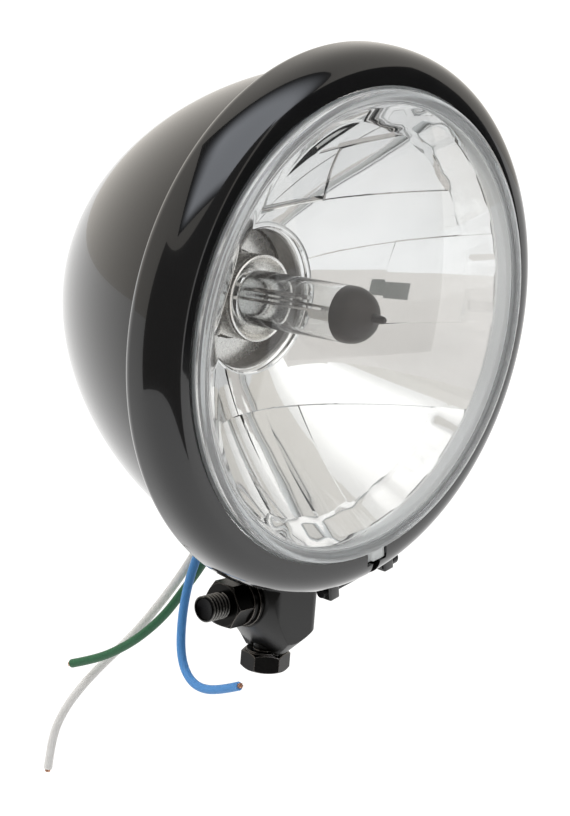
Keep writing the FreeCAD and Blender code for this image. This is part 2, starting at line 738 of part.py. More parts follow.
def make_retaining_clip():
    """A hairpin of spring wire across the back of the bulb's flange."""
    half = value("clip_half_width")
    tall = value("clip_half_height")
    corner = value("clip_corner")
    level = value("bulb_flange_thickness + clip_wire_radius + clip_clearance")
    bend = corner * (1 - math.sqrt(0.5))
    path = Part.Wire([
        Part.makeLine(Vector(-half, tall, level), Vector(-half, corner - tall, level)),
        Part.Arc(Vector(-half, corner - tall, level), Vector(bend - half, bend - tall, level),
                 Vector(corner - half, -tall, level)).toShape(),
        Part.makeLine(Vector(corner - half, -tall, level), Vector(half - corner, -tall, level)),
        Part.Arc(Vector(half - corner, -tall, level), Vector(half - bend, bend - tall, level),
                 Vector(half, corner - tall, level)).toShape(),
        Part.makeLine(Vector(half, corner - tall, level), Vector(half, tall, level)),
    ])
    section = Part.Wire(Part.makeCircle(value("clip_wire_radius"), Vector(-half, tall, level), Y_AXIS))
    return feature("retaining_clip", path.makePipeShell([section], True, False), BULB)


WIRE_TURNS = {"white": -60.0, "green": 60.0, "blue": 180.0}


def wire_seat(colour, height):
    """Where a wire crosses the grommet, at a height along the grommet's axis."""
    angle = math.radians(WIRE_TURNS[colour])
    ring = value("wire_circle_radius")
    return GROMMET.multVec(Vector(ring * math.cos(angle), ring * math.sin(angle), height))


def make_grommet():
    """A moulded rubber grommet waisted for the shell's hole, with one small hole for each wire."""
    tail = "-" + GROMMET_TAIL
    lower = "-(shell_sheet + grommet_inner_gap)"
    upper = "grommet_outer_gap"
    brim = "grommet_outer_gap + grommet_flange_thickness"
    corners = [("0", tail), ("grommet_flange_radius", tail), ("grommet_flange_radius", lower),
               ("grommet_waist_radius", lower), ("grommet_waist_radius", upper),
               ("grommet_flange_radius", upper), ("grommet_flange_radius", brim),
               ("grommet_nose_radius", GROMMET_NOSE), ("0", GROMMET_NOSE)]
    body = turned("grommet_body", corners, GROMMET)
    holes = []
    for colour in WIRE_TURNS:
        foot = Placement(wire_seat(colour, -value(GROMMET_TAIL)), GROMMET.Rotation)
        holes.append(cylinder(colour + "_hole", WIRE_HOLE, "%s + %s" % (GROMMET_TAIL, GROMMET_NOSE), foot))
    return cut("wire_grommet", body, fused("grommet_holes", holes))


BEND_SHARE = 0.45


def cord(label, points, radius):
    """A round cord along straight runs joined by the largest tangent arcs that the runs leave room for."""
    edges = []
    bends = []
    start = points[0]
    for before, corner, after in zip(points, points[1:], points[2:]):
        back = (before - corner).normalize()
        ahead = (after - corner).normalize()
        setback = BEND_SHARE * min((before - corner).Length, (after - corner).Length)
        turn = math.pi - back.getAngle(ahead)
        bend = setback / math.tan(turn / 2)
        inward = (back + ahead).normalize()
        middle = corner + inward * (math.hypot(bend, setback) - bend)
        edges.append(Part.LineSegment(start, corner + back * setback).toShape())
        edges.append(Part.Arc(corner + back * setback, middle, corner + ahead * setback).toShape())
        start = corner + ahead * setback
        bends.append(bend)
    edges.append(Part.LineSegment(start, points[-1]).toShape())
    path = Part.Wire(edges)
    section = Part.Wire(Part.makeCircle(radius, points[0], points[1] - points[0]))
    tube = path.makePipeShell([section], True, False)
    expected = math.pi * radius ** 2 * path.Length
    print(label, "length", round(path.Length, 1), "tightest bend", round(min(bends), 1),
          "volume ratio", round(tube.Volume / expected, 4))
    return feature(label, tube, HOME)


# Routes of the three free wires, as points beyond the grommet
FREE_ROUTES = {
    "white": [(22.3, 34.4, 1.8), (22.1, 43.0, -11.4), (22.1, 57.1, -29.5), (22.1, 71.9, -44.6),
              (22.1, 83.3, -58.1), (22.1, 90.1, -69.3), (22.1, 92.6, -78.7), (22.1, 93.3, -86.5)],
    "green": [(22.6, 30.0, 1.1), (21.1, 36.4, -9.4), (19.1, 41.5, -18.3), (17.1, 49.6, -27.3),
              (16.4, 58.6, -34.3), (15.7, 68.0, -39.9), (15.1, 77.7, -44.0)],
    "blue": [(18.0, 29.1, 3.1), (16.2, 30.3, -6.5), (14.6, 29.9, -16.5), (13.0, 27.8, -25.7),
             (12.0, 23.8, -31.3), (11.2, 17.6, -33.6), (10.4, 8.6, -31.6), (9.6, -0.6, -27.2)],
}
# Shared route of the three leads inside the shell: its share of the way back and up from the grommet to the
# plug, then how far each lead has moved sideways and endways from its place at the plug to its hole
LEAD_ROUTE = [
    (1.231, 0.932, 0.0, 0.0), (1.255, 0.822, 0.0, 0.0), (1.17, 0.687, 0.0, 0.0), (1.018, 0.554, 0.0, 0.0),
    (0.824, 0.444, 0.0, 0.0), (0.571, 0.37, 0.0, 0.0), (0.305, 0.324, 0.0, 0.0), (0.099, 0.251, 0.1, 0.6),
    (0.022, 0.122, 0.4, 1.0),
]
PLUG_PLACES = {"white": 1, "green": 0, "blue": -1}


def lead_points(colour):
    """A lead's way from the back of the plug down to the grommet and through it to its nose."""
    plug_back = value(BLADE_START) + value("plug_gap + plug_length")
    place = PLUG_PLACES[colour] * value("plug_exit_spacing")
    start = BULB.multVec(Vector(place, 0, plug_back))
    entry_height = -value(GROMMET_TAIL) - value("grommet_lead_in")
    entry = wire_seat(colour, entry_height)
    foot = GROMMET.multVec(Vector(0, 0, entry_height))
    way = start - foot
    offset = entry - foot
    points = [start, BULB.multVec(Vector(place, 0, plug_back + value("plug_exit_length")))]
    for back, up, sideways, endways in LEAD_ROUTE:
        across = start.x + (entry.x - start.x) * sideways
        points.append(Vector(across, foot.y + way.y * back + offset.y * endways,
                             foot.z + way.z * up + offset.z * endways))
    return points + [entry, wire_seat(colour, value(GROMMET_NOSE))]


def make_wires():
    """Each wire as an inner lead from the plug to the grommet's nose, a free run and its bared core."""
    nodes = []
    cores = []
    radius = value("wire_radius")
    first_run = GROMMET.Rotation.multVec(Z_AXIS) * value("wire_exit_length")
    for colour, route in FREE_ROUTES.items():
        inner = lead_points(colour)
        nodes.append(cord(colour + "_lead", inner, radius))
        points = [inner[-1], inner[-1] + first_run] + [Vector(*point) for point in route]
        nodes.append(cord(colour + "_wire", points, radius))
        turn = Rotation(Z_AXIS, points[-1] - points[-2])
        cores.append(cylinder(colour + "_core", "core_radius", "core_length", Placement(points[-1], turn)))
    nodes.append(grouped("copper_ends", cores))
    return nodes


def make_mount_block():
    """A square block turned conical at its foot and at its stud face, with a round neck on top."""
    foot = "-block_below_stud"
    length = "block_below_stud + neck_top_height"
    bar = square_bar("block_bar", "block_width", "block_corner", length, moved(BOLT, 0, 0, value(foot)))
    reach = "(block_foot_radius + block_cone_length)"
    upright = turned("block_upright_turning", [
        (BORE, foot), ("block_foot_radius", foot), (reach, "block_cone_length - block_below_stud"),
        (reach, "block_above_stud"), ("neck_radius", "block_above_stud"),
        ("neck_radius", "neck_top_height"), (BORE, "neck_top_height")], BOLT)
    face = "-" + BLOCK_FACE
    cone_end = "(%s - block_cone_length)" % face
    wide = "(2 * block_width)"
    far_side = "(%s - 2 * block_width)" % face
    hole_end = "(%s - stud_depth_in_block)" % face
    cross = turned("block_cross_turning", [
        ("stud_waist_radius", face), ("block_face_radius", face),
        ("block_face_radius + block_cone_length", cone_end), (wide, cone_end), (wide, far_side),
        ("0", far_side), ("0", hole_end), ("stud_waist_radius", hole_end)], STUD)
    return common("mount_block", common("block_turned", bar, upright), cross)


def make_mount_bolt():
    """The upright bolt: hexagon head under the block, washer face, and a shank up into the shell."""
    under = "block_below_stud + bolt_face_height + bolt_head_height"
    turn = Rotation(Z_AXIS, value("bolt_turn"))
    head = hexagon("bolt_head", "bolt_head_height", "0", moved(BOLT, 0, 0, -value(under), turn))
    top = "%s + flat_washer_thickness + nut_height + bolt_end_length" % BOSS_TOP
    foot = "-(block_below_stud + bolt_face_height)"
    shank = turned("bolt_shank", [
        ("0", foot), ("bolt_face_radius", foot), ("bolt_face_radius", "-block_below_stud"),
        ("bolt_radius", "-block_below_stud"), ("bolt_radius", top), ("0", top)], BOLT)
    return fused("mount_bolt", [head, shank])


def make_fasteners():
    """The nut and washer on the bolt inside the shell, and the stud with its nut and two washers."""
    seat = value(BOSS_TOP)
    washer = ring_of("bolt_washer", "washer_bore_radius", "washer_radius", "flat_washer_thickness",
                     moved(BOLT, 0, 0, seat))
    nut = hexagon("bolt_nut", "nut_height", "bolt_radius + nut_clearance",
                  moved(BOLT, 0, 0, seat + value("flat_washer_thickness")))
    stud_nut = hexagon("stud_nut", "nut_height", "stud_waist_radius + nut_clearance",
                       moved(STUD, 0, 0, -value("nut_height"), Rotation(Z_AXIS, 90)))
    spring_place = moved(STUD, 0, 0, -value("nut_height + spring_washer_thickness"))
    spring = ring_of("spring_washer_ring", "washer_bore_radius", "spring_washer_radius",
                     "spring_washer_thickness", spring_place)
    slit_place = moved(spring_place, value("spring_washer_radius"), 0, -value("spring_washer_thickness / 2"))
    slit = centred_box("spring_washer_slit", "spring_washer_radius", "spring_washer_split",
                       "2 * spring_washer_thickness", slit_place)
    spring_washer = cut("spring_washer", spring, slit)
    flat = ring_of("flat_washer", "washer_bore_radius", "washer_radius", "flat_washer_thickness",
                   moved(STUD, 0, 0, -value(BLOCK_FACE)))
    inner_end = "-(%s + stud_depth_in_block)" % BLOCK_FACE
    stud = turned("mount_stud", [
        ("0", inner_end), ("stud_waist_radius", inner_end), ("stud_waist_radius", "0"), ("stud_radius", "0"),
        ("stud_radius", "stud_free_length - stud_point"), ("stud_radius - stud_point", "stud_free_length"),
        ("0", "stud_free_length")], STUD)
    return [washer, nut, stud_nut, spring_washer, flat, stud]


def build():
    """Every sub-part of the headlight, as it comes apart on a bench."""
    nodes = [make_shell(), make_trim_ring(), make_trim_ring_screw(), make_lens(), make_reflector()]
    nodes += make_seals()
    nodes += [make_bulb_base(), make_bulb_glass()]
    nodes += make_bulb_inside()
    nodes += make_terminals()
    nodes += [make_retaining_clip(), make_grommet()]
    nodes += make_wires()
    nodes += [make_mount_block(), make_mount_bolt()]
    nodes += make_fasteners()
    return nodes


def check(nodes):
    """Stops if any object failed or any sub-part has no sound shape."""
    for thing in doc.Objects:
        if "Invalid" in thing.State or "Error" in thing.State:
            raise RuntimeError("%s could not be built: %s" % (thing.Name, thing.State))
    for node in nodes:
        if node.Shape.isNull() or not node.Shape.isValid():
            raise RuntimeError("%s has no sound shape" % node.Label)


def write(nodes):
    """One STEP file for each sub-part, named by its label."""
    os.makedirs("parts", exist_ok=True)
    for node in nodes:
        node.Shape.exportStep("parts/%s.step" % node.Label)
    print(len(nodes), "sub-parts written")


sub_parts = build()
doc.recompute()
check(sub_parts)
write(sub_parts)
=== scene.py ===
# %% [markdown]
# A motorcycle headlight, step by step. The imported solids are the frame: every size and place below is read
# from them or repeats a size of the real lamp in millimetres. Blender adds what the eye looks for: gloss
# paint, a clear lens, a faceted mirror behind it, threads, and soft wires.

import math

import bpy
from mathutils import Matrix, Vector


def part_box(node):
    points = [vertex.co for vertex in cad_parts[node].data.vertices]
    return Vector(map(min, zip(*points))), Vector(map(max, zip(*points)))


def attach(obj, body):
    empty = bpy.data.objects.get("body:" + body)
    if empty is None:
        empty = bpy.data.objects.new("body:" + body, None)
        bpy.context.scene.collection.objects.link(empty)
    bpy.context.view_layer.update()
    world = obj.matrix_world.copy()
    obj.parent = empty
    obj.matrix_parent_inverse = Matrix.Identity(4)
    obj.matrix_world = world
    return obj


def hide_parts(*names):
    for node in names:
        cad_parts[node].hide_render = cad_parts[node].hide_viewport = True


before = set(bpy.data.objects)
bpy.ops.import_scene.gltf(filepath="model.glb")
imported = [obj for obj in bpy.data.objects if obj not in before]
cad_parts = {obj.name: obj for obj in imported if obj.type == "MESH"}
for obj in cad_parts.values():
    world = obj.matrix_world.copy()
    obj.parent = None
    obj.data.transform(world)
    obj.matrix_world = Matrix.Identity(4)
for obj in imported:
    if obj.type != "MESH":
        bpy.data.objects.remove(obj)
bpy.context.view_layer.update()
MM = 0.001

# %% [markdown]
# The lens axis runs front to back through the middle of the lens. All the round pieces at the front are
# turned about it, so its place is measured once, from the lens and the trim ring.

# %% Find the lens axis
lens_low, lens_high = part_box("lens")
ring_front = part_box("trim_ring")[0].y
AXIS = Vector(((lens_low.x + lens_high.x) / 2, ring_front, (lens_low.z + lens_high.z) / 2))
BACKWARD = Vector((0, 1, 0))
UPWARD = Vector((0, 0, 1))
SIDEWAYS = Vector((1, 0, 0))
print("ring front and lens axis at", [round(c / MM, 2) for c in AXIS])

# %% [markdown]
# The camera stands where the photographer stood: to the left, a little above, with a long lens and a slight
# roll. It was worked out from the trim ring's ellipse, so the picture can be laid over the photograph.

# %% Place the camera
CAMERA_AZIMUTH = -48.02
CAMERA_ELEVATION = 13.79
CAMERA_ROLL = 4.51
CAMERA_PLACE = Vector((-577.4, -538.5, 255.0)) * MM
FOCAL_PIXELS = 2800
FRAME_HEIGHT = 816
SENSOR = 36.0


def camera_turn(azimuth, elevation, roll):
    """The camera's axes from its bearing, its height angle and its roll."""
    az, el, tilt = (math.radians(angle) for angle in (azimuth, elevation, roll))
    back = Vector((math.sin(az) * math.cos(el), -math.cos(az) * math.cos(el), math.sin(el)))
    right = Vector((math.cos(az), math.sin(az), 0))
    up = back.cross(right)
    across = right * math.cos(tilt) + up * math.sin(tilt)
    above = up * math.cos(tilt) - right * math.sin(tilt)
    return Matrix((across, above, back)).transposed()


bpy.ops.object.select_all(action="DESELECT")
bpy.ops.object.camera_add()
camera = bpy.context.object
camera.name = "photo_camera"
turn = camera_turn(CAMERA_AZIMUTH, CAMERA_ELEVATION, CAMERA_ROLL)
camera.matrix_world = Matrix.Translation(CAMERA_PLACE) @ turn.to_4x4()
camera.data.sensor_width = SENSOR
camera.data.lens = FOCAL_PIXELS * SENSOR / FRAME_HEIGHT
bpy.context.scene.camera = camera
bpy.context.scene.view_settings.view_transform = "Standard"
print("camera lens", round(camera.data.lens, 1), "mm")

# %% [markdown]
# Three wires leave the grommet low at the back of the shell and hang free. Each one is a smooth curve with
# the same control points as its solid and a round bevel for its insulation: every point carries the wire's
# radius, and the bevel takes it as it is. The cut ends show bare copper.

# %% Draw the three wires
WIRE_DIAMETER = 2.8 * MM
WIRE_SMOOTHNESS = 8
WIRE_ROUNDNESS = 6
WIRE_ROUTES = {
    "white": [(22.3, 34.4, 1.8), (22.1, 43.0, -11.4), (22.1, 57.1, -29.5), (22.1, 71.9, -44.6),
              (22.1, 83.3, -58.1), (22.1, 90.1, -69.3), (22.1, 92.6, -78.7), (22.1, 93.3, -86.5)],
    "green": [(22.6, 30.0, 1.1), (21.1, 36.4, -9.4), (19.1, 41.5, -18.3), (17.1, 49.6, -27.3),
              (16.4, 58.6, -34.3), (15.7, 68.0, -39.9), (15.1, 77.7, -44.0)],
    "blue": [(18.0, 29.1, 3.1), (16.2, 30.3, -6.5), (14.6, 29.9, -16.5), (13.0, 27.8, -25.7),
             (12.0, 23.8, -31.3), (11.2, 17.6, -33.6), (10.4, 8.6, -31.6), (9.6, -0.6, -27.2)],
}
WIRE_EXITS = {"white": (22.25, 24.49, 20.42), "green": (22.25, 20.87, 18.72), "blue": (18.8, 22.68, 19.57)}
EXIT_WAY = Vector((0, 0.424, -0.906))
EXIT_RUN = 8.0


def draw_wire(colour):
    """A wire as a smooth curve from its hole in the grommet to its cut end."""
    exit_point = Vector(WIRE_EXITS[colour])
    points = [exit_point, exit_point + EXIT_WAY * EXIT_RUN]
    points += [Vector(point) for point in WIRE_ROUTES[colour]]
    curve = bpy.data.curves.new(colour + "_wire_curve", "CURVE")
    curve.dimensions = "3D"
    spline = curve.splines.new("NURBS")
    spline.points.add(len(points) - 1)
    for control, point in zip(spline.points, points):
        control.co = (*(point * MM), 1)
        control.radius = WIRE_DIAMETER / 2
    spline.order_u = 3
    spline.use_endpoint_u = True
    curve.resolution_u = WIRE_SMOOTHNESS
    curve.bevel_depth = 1.0
    curve.bevel_resolution = WIRE_ROUNDNESS
    curve.use_fill_caps = True
    wire = bpy.data.objects.new(colour + "_insulation", curve)
    bpy.context.scene.collection.objects.link(wire)
    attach(wire, "lamp")
    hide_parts(colour + "_wire")
    return wire


wires = {colour: draw_wire(colour) for colour in WIRE_ROUTES}
print("wires", sorted(wires))

# %% [markdown]
# Most of the lamp is round, made on a lathe, a spinning tool or a press. So one helper does the same: it
# draws half of a section as a chain of points, then spins it once round an axis. Extrude and spin are the
# operators that a modeller would use by hand, and the doubled seam is merged before the faces are turned
# outwards.

# %% A lathe for the round pieces
SPIN_STEPS = 192
MERGE_DISTANCE = 0.002 * MM


def draw_section(name, section, origin, along, outward):
    """A chain of edges through (radius, distance along the axis) points in millimetres, left in edit mode."""
    places = [origin + outward * (radius * MM) + along * (far * MM) for radius, far in section]
    bpy.ops.object.select_all(action="DESELECT")
    bpy.ops.mesh.primitive_plane_add(size=MM)
    piece = bpy.context.object
    piece.name = name
    piece.data.name = name
    bpy.ops.object.mode_set(mode="EDIT")
    bpy.ops.mesh.select_mode(type="VERT")
    bpy.ops.mesh.select_all(action="SELECT")
    bpy.ops.mesh.merge(type="CENTER")
    bpy.ops.transform.translate(value=places[0])
    for here, there in zip(places, places[1:]):
        bpy.ops.mesh.extrude_vertices_move(TRANSFORM_OT_translate={"value": there - here})
    bpy.ops.mesh.select_all(action="SELECT")
    return piece


def lathe(name, section, origin, along=BACKWARD, outward=UPWARD, steps=SPIN_STEPS, sweep=math.tau):
    """A turned piece: its half section drawn and spun about an axis."""
    piece = draw_section(name, section, origin, along, outward)
    bpy.ops.mesh.spin(steps=steps, angle=sweep, center=origin, axis=along)
    bpy.ops.mesh.select_all(action="SELECT")
    bpy.ops.mesh.remove_doubles(threshold=MERGE_DISTANCE)
    bpy.ops.mesh.normals_make_consistent(inside=False)
    bpy.ops.object.mode_set(mode="OBJECT")
    return piece


print("lathe set to", SPIN_STEPS, "steps a turn")

# %% [markdown]
# An operator acts on all that is selected, so a piece is selected alone before it is worked on. A finished
# piece is shaded smooth with its real edges kept crisp, and is tied to the body that carries it.

# %% Select, join and place pieces
SHARP_ANGLE = math.radians(32)


def select_only(piece):
    """Makes a piece the one that operators act on."""
    bpy.ops.object.select_all(action="DESELECT")
    piece.select_set(True)
    bpy.context.view_layer.objects.active = piece


def join(pieces):
    """Several meshes made one piece, named as the first."""
    select_only(pieces[0])
    for piece in pieces[1:]:
        piece.select_set(True)
    bpy.ops.object.join()
    return pieces[0]


def place(piece, body, slot, *nodes):
    """Shades a finished piece, and says what it rides on and which solids it stands for. The slot is not
    used.
    """
    select_only(piece)
    bpy.ops.object.shade_smooth_by_angle(angle=SHARP_ANGLE)
    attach(piece, body)
    if nodes:
        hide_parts(*nodes)
    print(piece.name, len(piece.data.polygons), "faces")

# %% [markdown]
# Each wire is cut off square, and about a millimetre of its core looks out: seven thin copper strands, one
# in the middle and six round it, with the twist they were laid with. One strand is turned, then copied into
# place.

# %% Bare the wire ends
STRAND_RADIUS = 0.28
STRAND_TIP_RADIUS = 0.2
STRAND_CHAMFER = 0.1
STRAND_IN = 1.0
STRAND_OUT = 1.2
STRAND_STEPS = 10
STRAND_LAY = 0.57
STRAND_TWIST = math.radians(14)
OUTER_STRANDS = 6
strand_section = [(0.0, -STRAND_IN), (STRAND_RADIUS, -STRAND_IN),
                  (STRAND_RADIUS, STRAND_OUT - STRAND_CHAMFER), (STRAND_TIP_RADIUS, STRAND_OUT),
                  (0.0, STRAND_OUT)]
strand = lathe("copper_strand", strand_section, Vector(), UPWARD, SIDEWAYS, steps=STRAND_STEPS)


def bare_end(colour):
    """Seven copies of the strand at a wire's cut end, laid in a twist."""
    before, tip = (Vector(point) for point in WIRE_ROUTES[colour][-2:])
    at_end = Matrix.Translation(tip * MM) @ UPWARD.rotation_difference(tip - before).to_matrix().to_4x4()
    strands = []
    for number in range(OUTER_STRANDS + 1):
        out, twist = (STRAND_LAY * MM, STRAND_TWIST) if number else (0.0, 0.0)
        turned = Matrix.Rotation(math.tau * number / OUTER_STRANDS, 4, "Z")
        round_about = turned @ Matrix.Translation((out, 0, 0))
        copied = strand.copy()
        copied.data = strand.data.copy()
        copied.data.transform(at_end @ round_about @ Matrix.Rotation(twist, 4, "X"))
        bpy.context.scene.collection.objects.link(copied)
        strands.append(copied)
    bundle = join(strands)
    bundle.name = colour + "_copper"
    place(bundle, "lamp", "copper", "copper_ends")
    return bundle


copper = {colour: bare_end(colour) for colour in wires}
bpy.data.objects.remove(strand)

# %% [markdown]
# A wire is soft. Its length is that of its curve from the grommet to the cut end, which the photograph shows
# in full.

# %% [markdown]
# The trim ring is split near the bottom, where a screw across two lugs draws it tight. The split, the lugs
# and a nub on the lens all sit there, so their places are given across, behind and out from that clamp.

# %% Find the clamp
CLAMP_ANGLE = math.radians(11.8)
CLAMP_OUT = Vector((math.sin(CLAMP_ANGLE), 0, -math.cos(CLAMP_ANGLE)))
CLAMP_ACROSS = Vector((math.cos(CLAMP_ANGLE), 0, math.sin(CLAMP_ANGLE)))


def at_clamp(across, depth, outwards):
    """A point near the ring's split: sideways, back from the ring's front, and out from the lens axis."""
    return AXIS + (CLAMP_ACROSS * across + BACKWARD * depth + CLAMP_OUT * outwards) * MM


print("clamp faces", [round(c, 3) for c in CLAMP_OUT])

# %% [markdown]
# Boxes are added as cubes, sized, turned to the part of the ring where they sit, and bevelled, because no
# real edge is perfectly sharp and the bevel is what catches the light. The same boxes cut slots with a
# boolean.

# %% Blocks and slots
def clamp_block(name, spot, size, bevel=0.0):
    """A box set square to the clamp, its place and size in millimetres."""
    bpy.ops.object.select_all(action="DESELECT")
    bpy.ops.mesh.primitive_cube_add(size=1)
    piece = bpy.context.object
    piece.name = name
    across, deep, outwards = size
    sides = Matrix((CLAMP_ACROSS * across * MM, BACKWARD * deep * MM, CLAMP_OUT * outwards * MM)).transposed()
    piece.matrix_world = Matrix.Translation(at_clamp(*spot)) @ sides.to_4x4()
    bpy.ops.object.transform_apply(location=True, rotation=True, scale=True)
    bpy.ops.object.mode_set(mode="EDIT")
    bpy.ops.mesh.select_all(action="SELECT")
    bpy.ops.mesh.normals_make_consistent(inside=False)
    if bevel:
        bpy.ops.mesh.bevel(offset=bevel * MM, segments=3, affect="EDGES")
    bpy.ops.object.mode_set(mode="OBJECT")
    return piece


def boolean(piece, tool, operation):
    """Cuts a tool's room out of a piece, or welds the tool to it, and removes the tool."""
    change = piece.modifiers.new(operation.lower(), "BOOLEAN")
    change.operation = operation
    change.solver = "EXACT"
    change.object = tool
    select_only(piece)
    bpy.ops.object.modifier_apply(modifier=change.name)
    bpy.data.objects.remove(tool)

# %% [markdown]
# The ring is rolled from sheet steel: a full, rounded front that turns in to the lens and a tighter roll at
# the back that grips the shell. Each turn is a quarter of an oval, and a formula with two fullnesses draws
# it, so that the gloss on it flows without flats.

# %% Draw the ring's section
RING_OPENING = 70.0
RING_WIDEST = 80.85
RING_WIDEST_DEPTH = 12.7
RING_SHEET = 1.2
RING_REAR = 17.3
RING_REAR_RADIUS = 75.2
RING_FULLNESS = 2.8


def rounded(radius_from, far_from, radius_to, far_to, radial_fullness=2.0, axial_fullness=2.0, points=14):
    """A rounded quarter of a section that starts square to the axis and ends along it."""
    chain = []
    for step in range(points + 1):
        angle = math.pi / 2 * step / points
        across = math.sin(angle) ** (2 / radial_fullness)
        ahead = max(math.cos(angle), 0.0) ** (2 / axial_fullness)
        chain.append((radius_from + (radius_to - radius_from) * across, far_to + (far_from - far_to) * ahead))
    return chain


def ring_section():
    """The sheet's outer face from the lip to the rear edge, and back along its inner face."""
    inner_widest = RING_WIDEST - RING_SHEET
    full = (RING_FULLNESS, RING_FULLNESS)
    front = rounded(RING_OPENING, 0.0, RING_WIDEST, RING_WIDEST_DEPTH, *full, points=20)
    rear = rounded(RING_REAR_RADIUS, RING_REAR, RING_WIDEST, RING_WIDEST_DEPTH)
    inner_rear = rounded(RING_REAR_RADIUS, RING_REAR - RING_SHEET, inner_widest, RING_WIDEST_DEPTH)
    inner_front = rounded(RING_OPENING, RING_SHEET, inner_widest, RING_WIDEST_DEPTH, *full)
    chain = front + rear[-2::-1] + inner_rear + inner_front[-2::-1]
    return chain + [chain[0]]


print("ring section of", len(ring_section()), "points")

# %% [markdown]
# The section is spun once round. Then the split is cut through, the lip is notched for the nub on the lens,
# and the two lugs are joined on.

# %% Roll the trim ring
RING_STEPS = 256
SPLIT_SIZE = (3.2, RING_REAR + 4, 40)
NOTCH_SPOT = (0, 0.9, 71.7)
NOTCH_SIZE = (8.4, 4.2, 5.8)
LUG_BEVEL = 0.6
# Each lug's place at the clamp and its size
LUGS = {
    "tapped_lug": ((-9.9, 11.5, 82.3), (4.2, 5.4, 6.2)),
    "plain_lug": ((14.6, 11.5, 81.9), (4.2, 5.4, 7.0)),
}
ring = lathe("trim_ring_roll", ring_section(), AXIS, steps=RING_STEPS)
boolean(ring, clamp_block("ring_split", (0, RING_REAR / 2, RING_WIDEST), SPLIT_SIZE), "DIFFERENCE")
boolean(ring, clamp_block("ring_notch", NOTCH_SPOT, NOTCH_SIZE), "DIFFERENCE")
lugs = [clamp_block(name, spot, size, LUG_BEVEL) for name, (spot, size) in LUGS.items()]
ring = join([ring] + lugs)
place(ring, "lamp", "ring_paint", "trim_ring")

# %% [markdown]
# The shell is spun from sheet into a deep bowl. Its curve is a formula with a fuller side than end, the
# same one as the solid, so the gloss flows without flats. A turned-out flange sits inside the ring, and a
# short boss under the bowl takes the mounting bolt.

# %% Spin the shell
SHELL_FRONT = 14.3
SHELL_END = 104.0
SHELL_RADIUS = 74.0
SHELL_SHEET = 1.4
SHELL_SIDE_FULLNESS = 1.76
SHELL_END_FULLNESS = 1.64
SHELL_FLANGE = 77.0
BOSS_RADIUS = 10.5
BOSS_HOLE = 4.05
BOSS_CHAMFER = 0.5
BOSS_BOTTOM = 13.06
BOSS_TOP = 19.8
BOSS_STEPS = 64
BOLT = Vector((AXIS.x, 0, 0))


def bowl_curve(end, radius, points):
    """The shell's curve from the middle of its end to its front edge."""
    return rounded(0.0, end, radius, SHELL_FRONT, SHELL_SIDE_FULLNESS, SHELL_END_FULLNESS, points)


outer_bowl = bowl_curve(SHELL_END, SHELL_RADIUS, points=40)
inner_bowl = bowl_curve(SHELL_END - SHELL_SHEET, SHELL_RADIUS - SHELL_SHEET, points=24)
flange = [(SHELL_RADIUS, SHELL_FRONT + SHELL_SHEET), (SHELL_FLANGE, SHELL_FRONT + SHELL_SHEET),
          (SHELL_FLANGE, SHELL_FRONT)]
shell = lathe("shell_bowl", outer_bowl[:-1] + flange + inner_bowl[::-1], AXIS)
boss_section = [(BOSS_HOLE, BOSS_BOTTOM), (BOSS_RADIUS - BOSS_CHAMFER, BOSS_BOTTOM),
                (BOSS_RADIUS, BOSS_BOTTOM + BOSS_CHAMFER), (BOSS_RADIUS, BOSS_TOP), (BOSS_HOLE, BOSS_TOP),
                (BOSS_HOLE, BOSS_BOTTOM)]
boss = lathe("shell_boss", boss_section, BOLT, UPWARD, SIDEWAYS, steps=BOSS_STEPS)
shell = join([shell, boss])
place(shell, "lamp", "shell_paint", "shell")

# %% [markdown]
# The lens is pressed clear, a shallow dome on a flat rim. Its border stands a little proud of the trim
# ring, with a rounded bead and a groove that draw fine bright rings. Glass needs a real wall thickness, so
# that light bends once going in and once coming out, and the section is a closed chain round both faces.

# %% Press the lens
LENS_RIM_FRONT = 1.6
LENS_RIM_BACK = 5.1
LENS_RIM = 73.5
LENS_RIM_CHAMFER = 0.4
LENS_SHOULDER = 69.2
LENS_DOME = 64.2
LENS_DOME_DEPTH = -2.4
LENS_APEX = -11.7
LENS_WALL = 3.2
LENS_INSET = 0.8
NUB_SPOT = (0, 2.2, 70.8)
NUB_SIZE = (5.4, 5.8, 5.2)
NUB_BEVEL = 0.8


def dome(edge_radius, edge_far, apex_far, points):
    """A round arc of a section from its edge to the axis."""
    rise = edge_far - apex_far
    sphere = (edge_radius ** 2 + rise ** 2) / (2 * rise)
    reach = math.asin(edge_radius / sphere)
    angles = [reach * (1 - step / points) for step in range(points + 1)]
    return [(sphere * math.sin(angle), apex_far + sphere * (1 - math.cos(angle))) for angle in angles]


outside = dome(LENS_DOME, LENS_DOME_DEPTH, LENS_APEX, points=36)
bead = [(LENS_SHOULDER, 1.2), (LENS_SHOULDER, -1.7), (68.95, -2.3), (68.4, -2.65), (67.6, -2.75),
        (66.9, -2.6), (66.4, -2.3), (66.0, -2.1), (65.4, -2.05), (64.8, -2.2)]
skirt = [(64.8, 0.6), (65.6, 0.9), (66.0, 1.6), (66.0, LENS_RIM_BACK)]
inside = dome(LENS_DOME - LENS_INSET, LENS_DOME_DEPTH + LENS_WALL, LENS_APEX + LENS_WALL, points=24)
rim = [(LENS_RIM - LENS_RIM_CHAMFER, LENS_RIM_BACK), (LENS_RIM, LENS_RIM_BACK - LENS_RIM_CHAMFER),
       (LENS_RIM, LENS_RIM_FRONT + LENS_RIM_CHAMFER), (LENS_RIM - LENS_RIM_CHAMFER, LENS_RIM_FRONT),
       (LENS_SHOULDER + LENS_RIM_CHAMFER, LENS_RIM_FRONT)]
lens = lathe("lens_pressing", inside[::-1] + skirt + rim + bead + outside, AXIS)
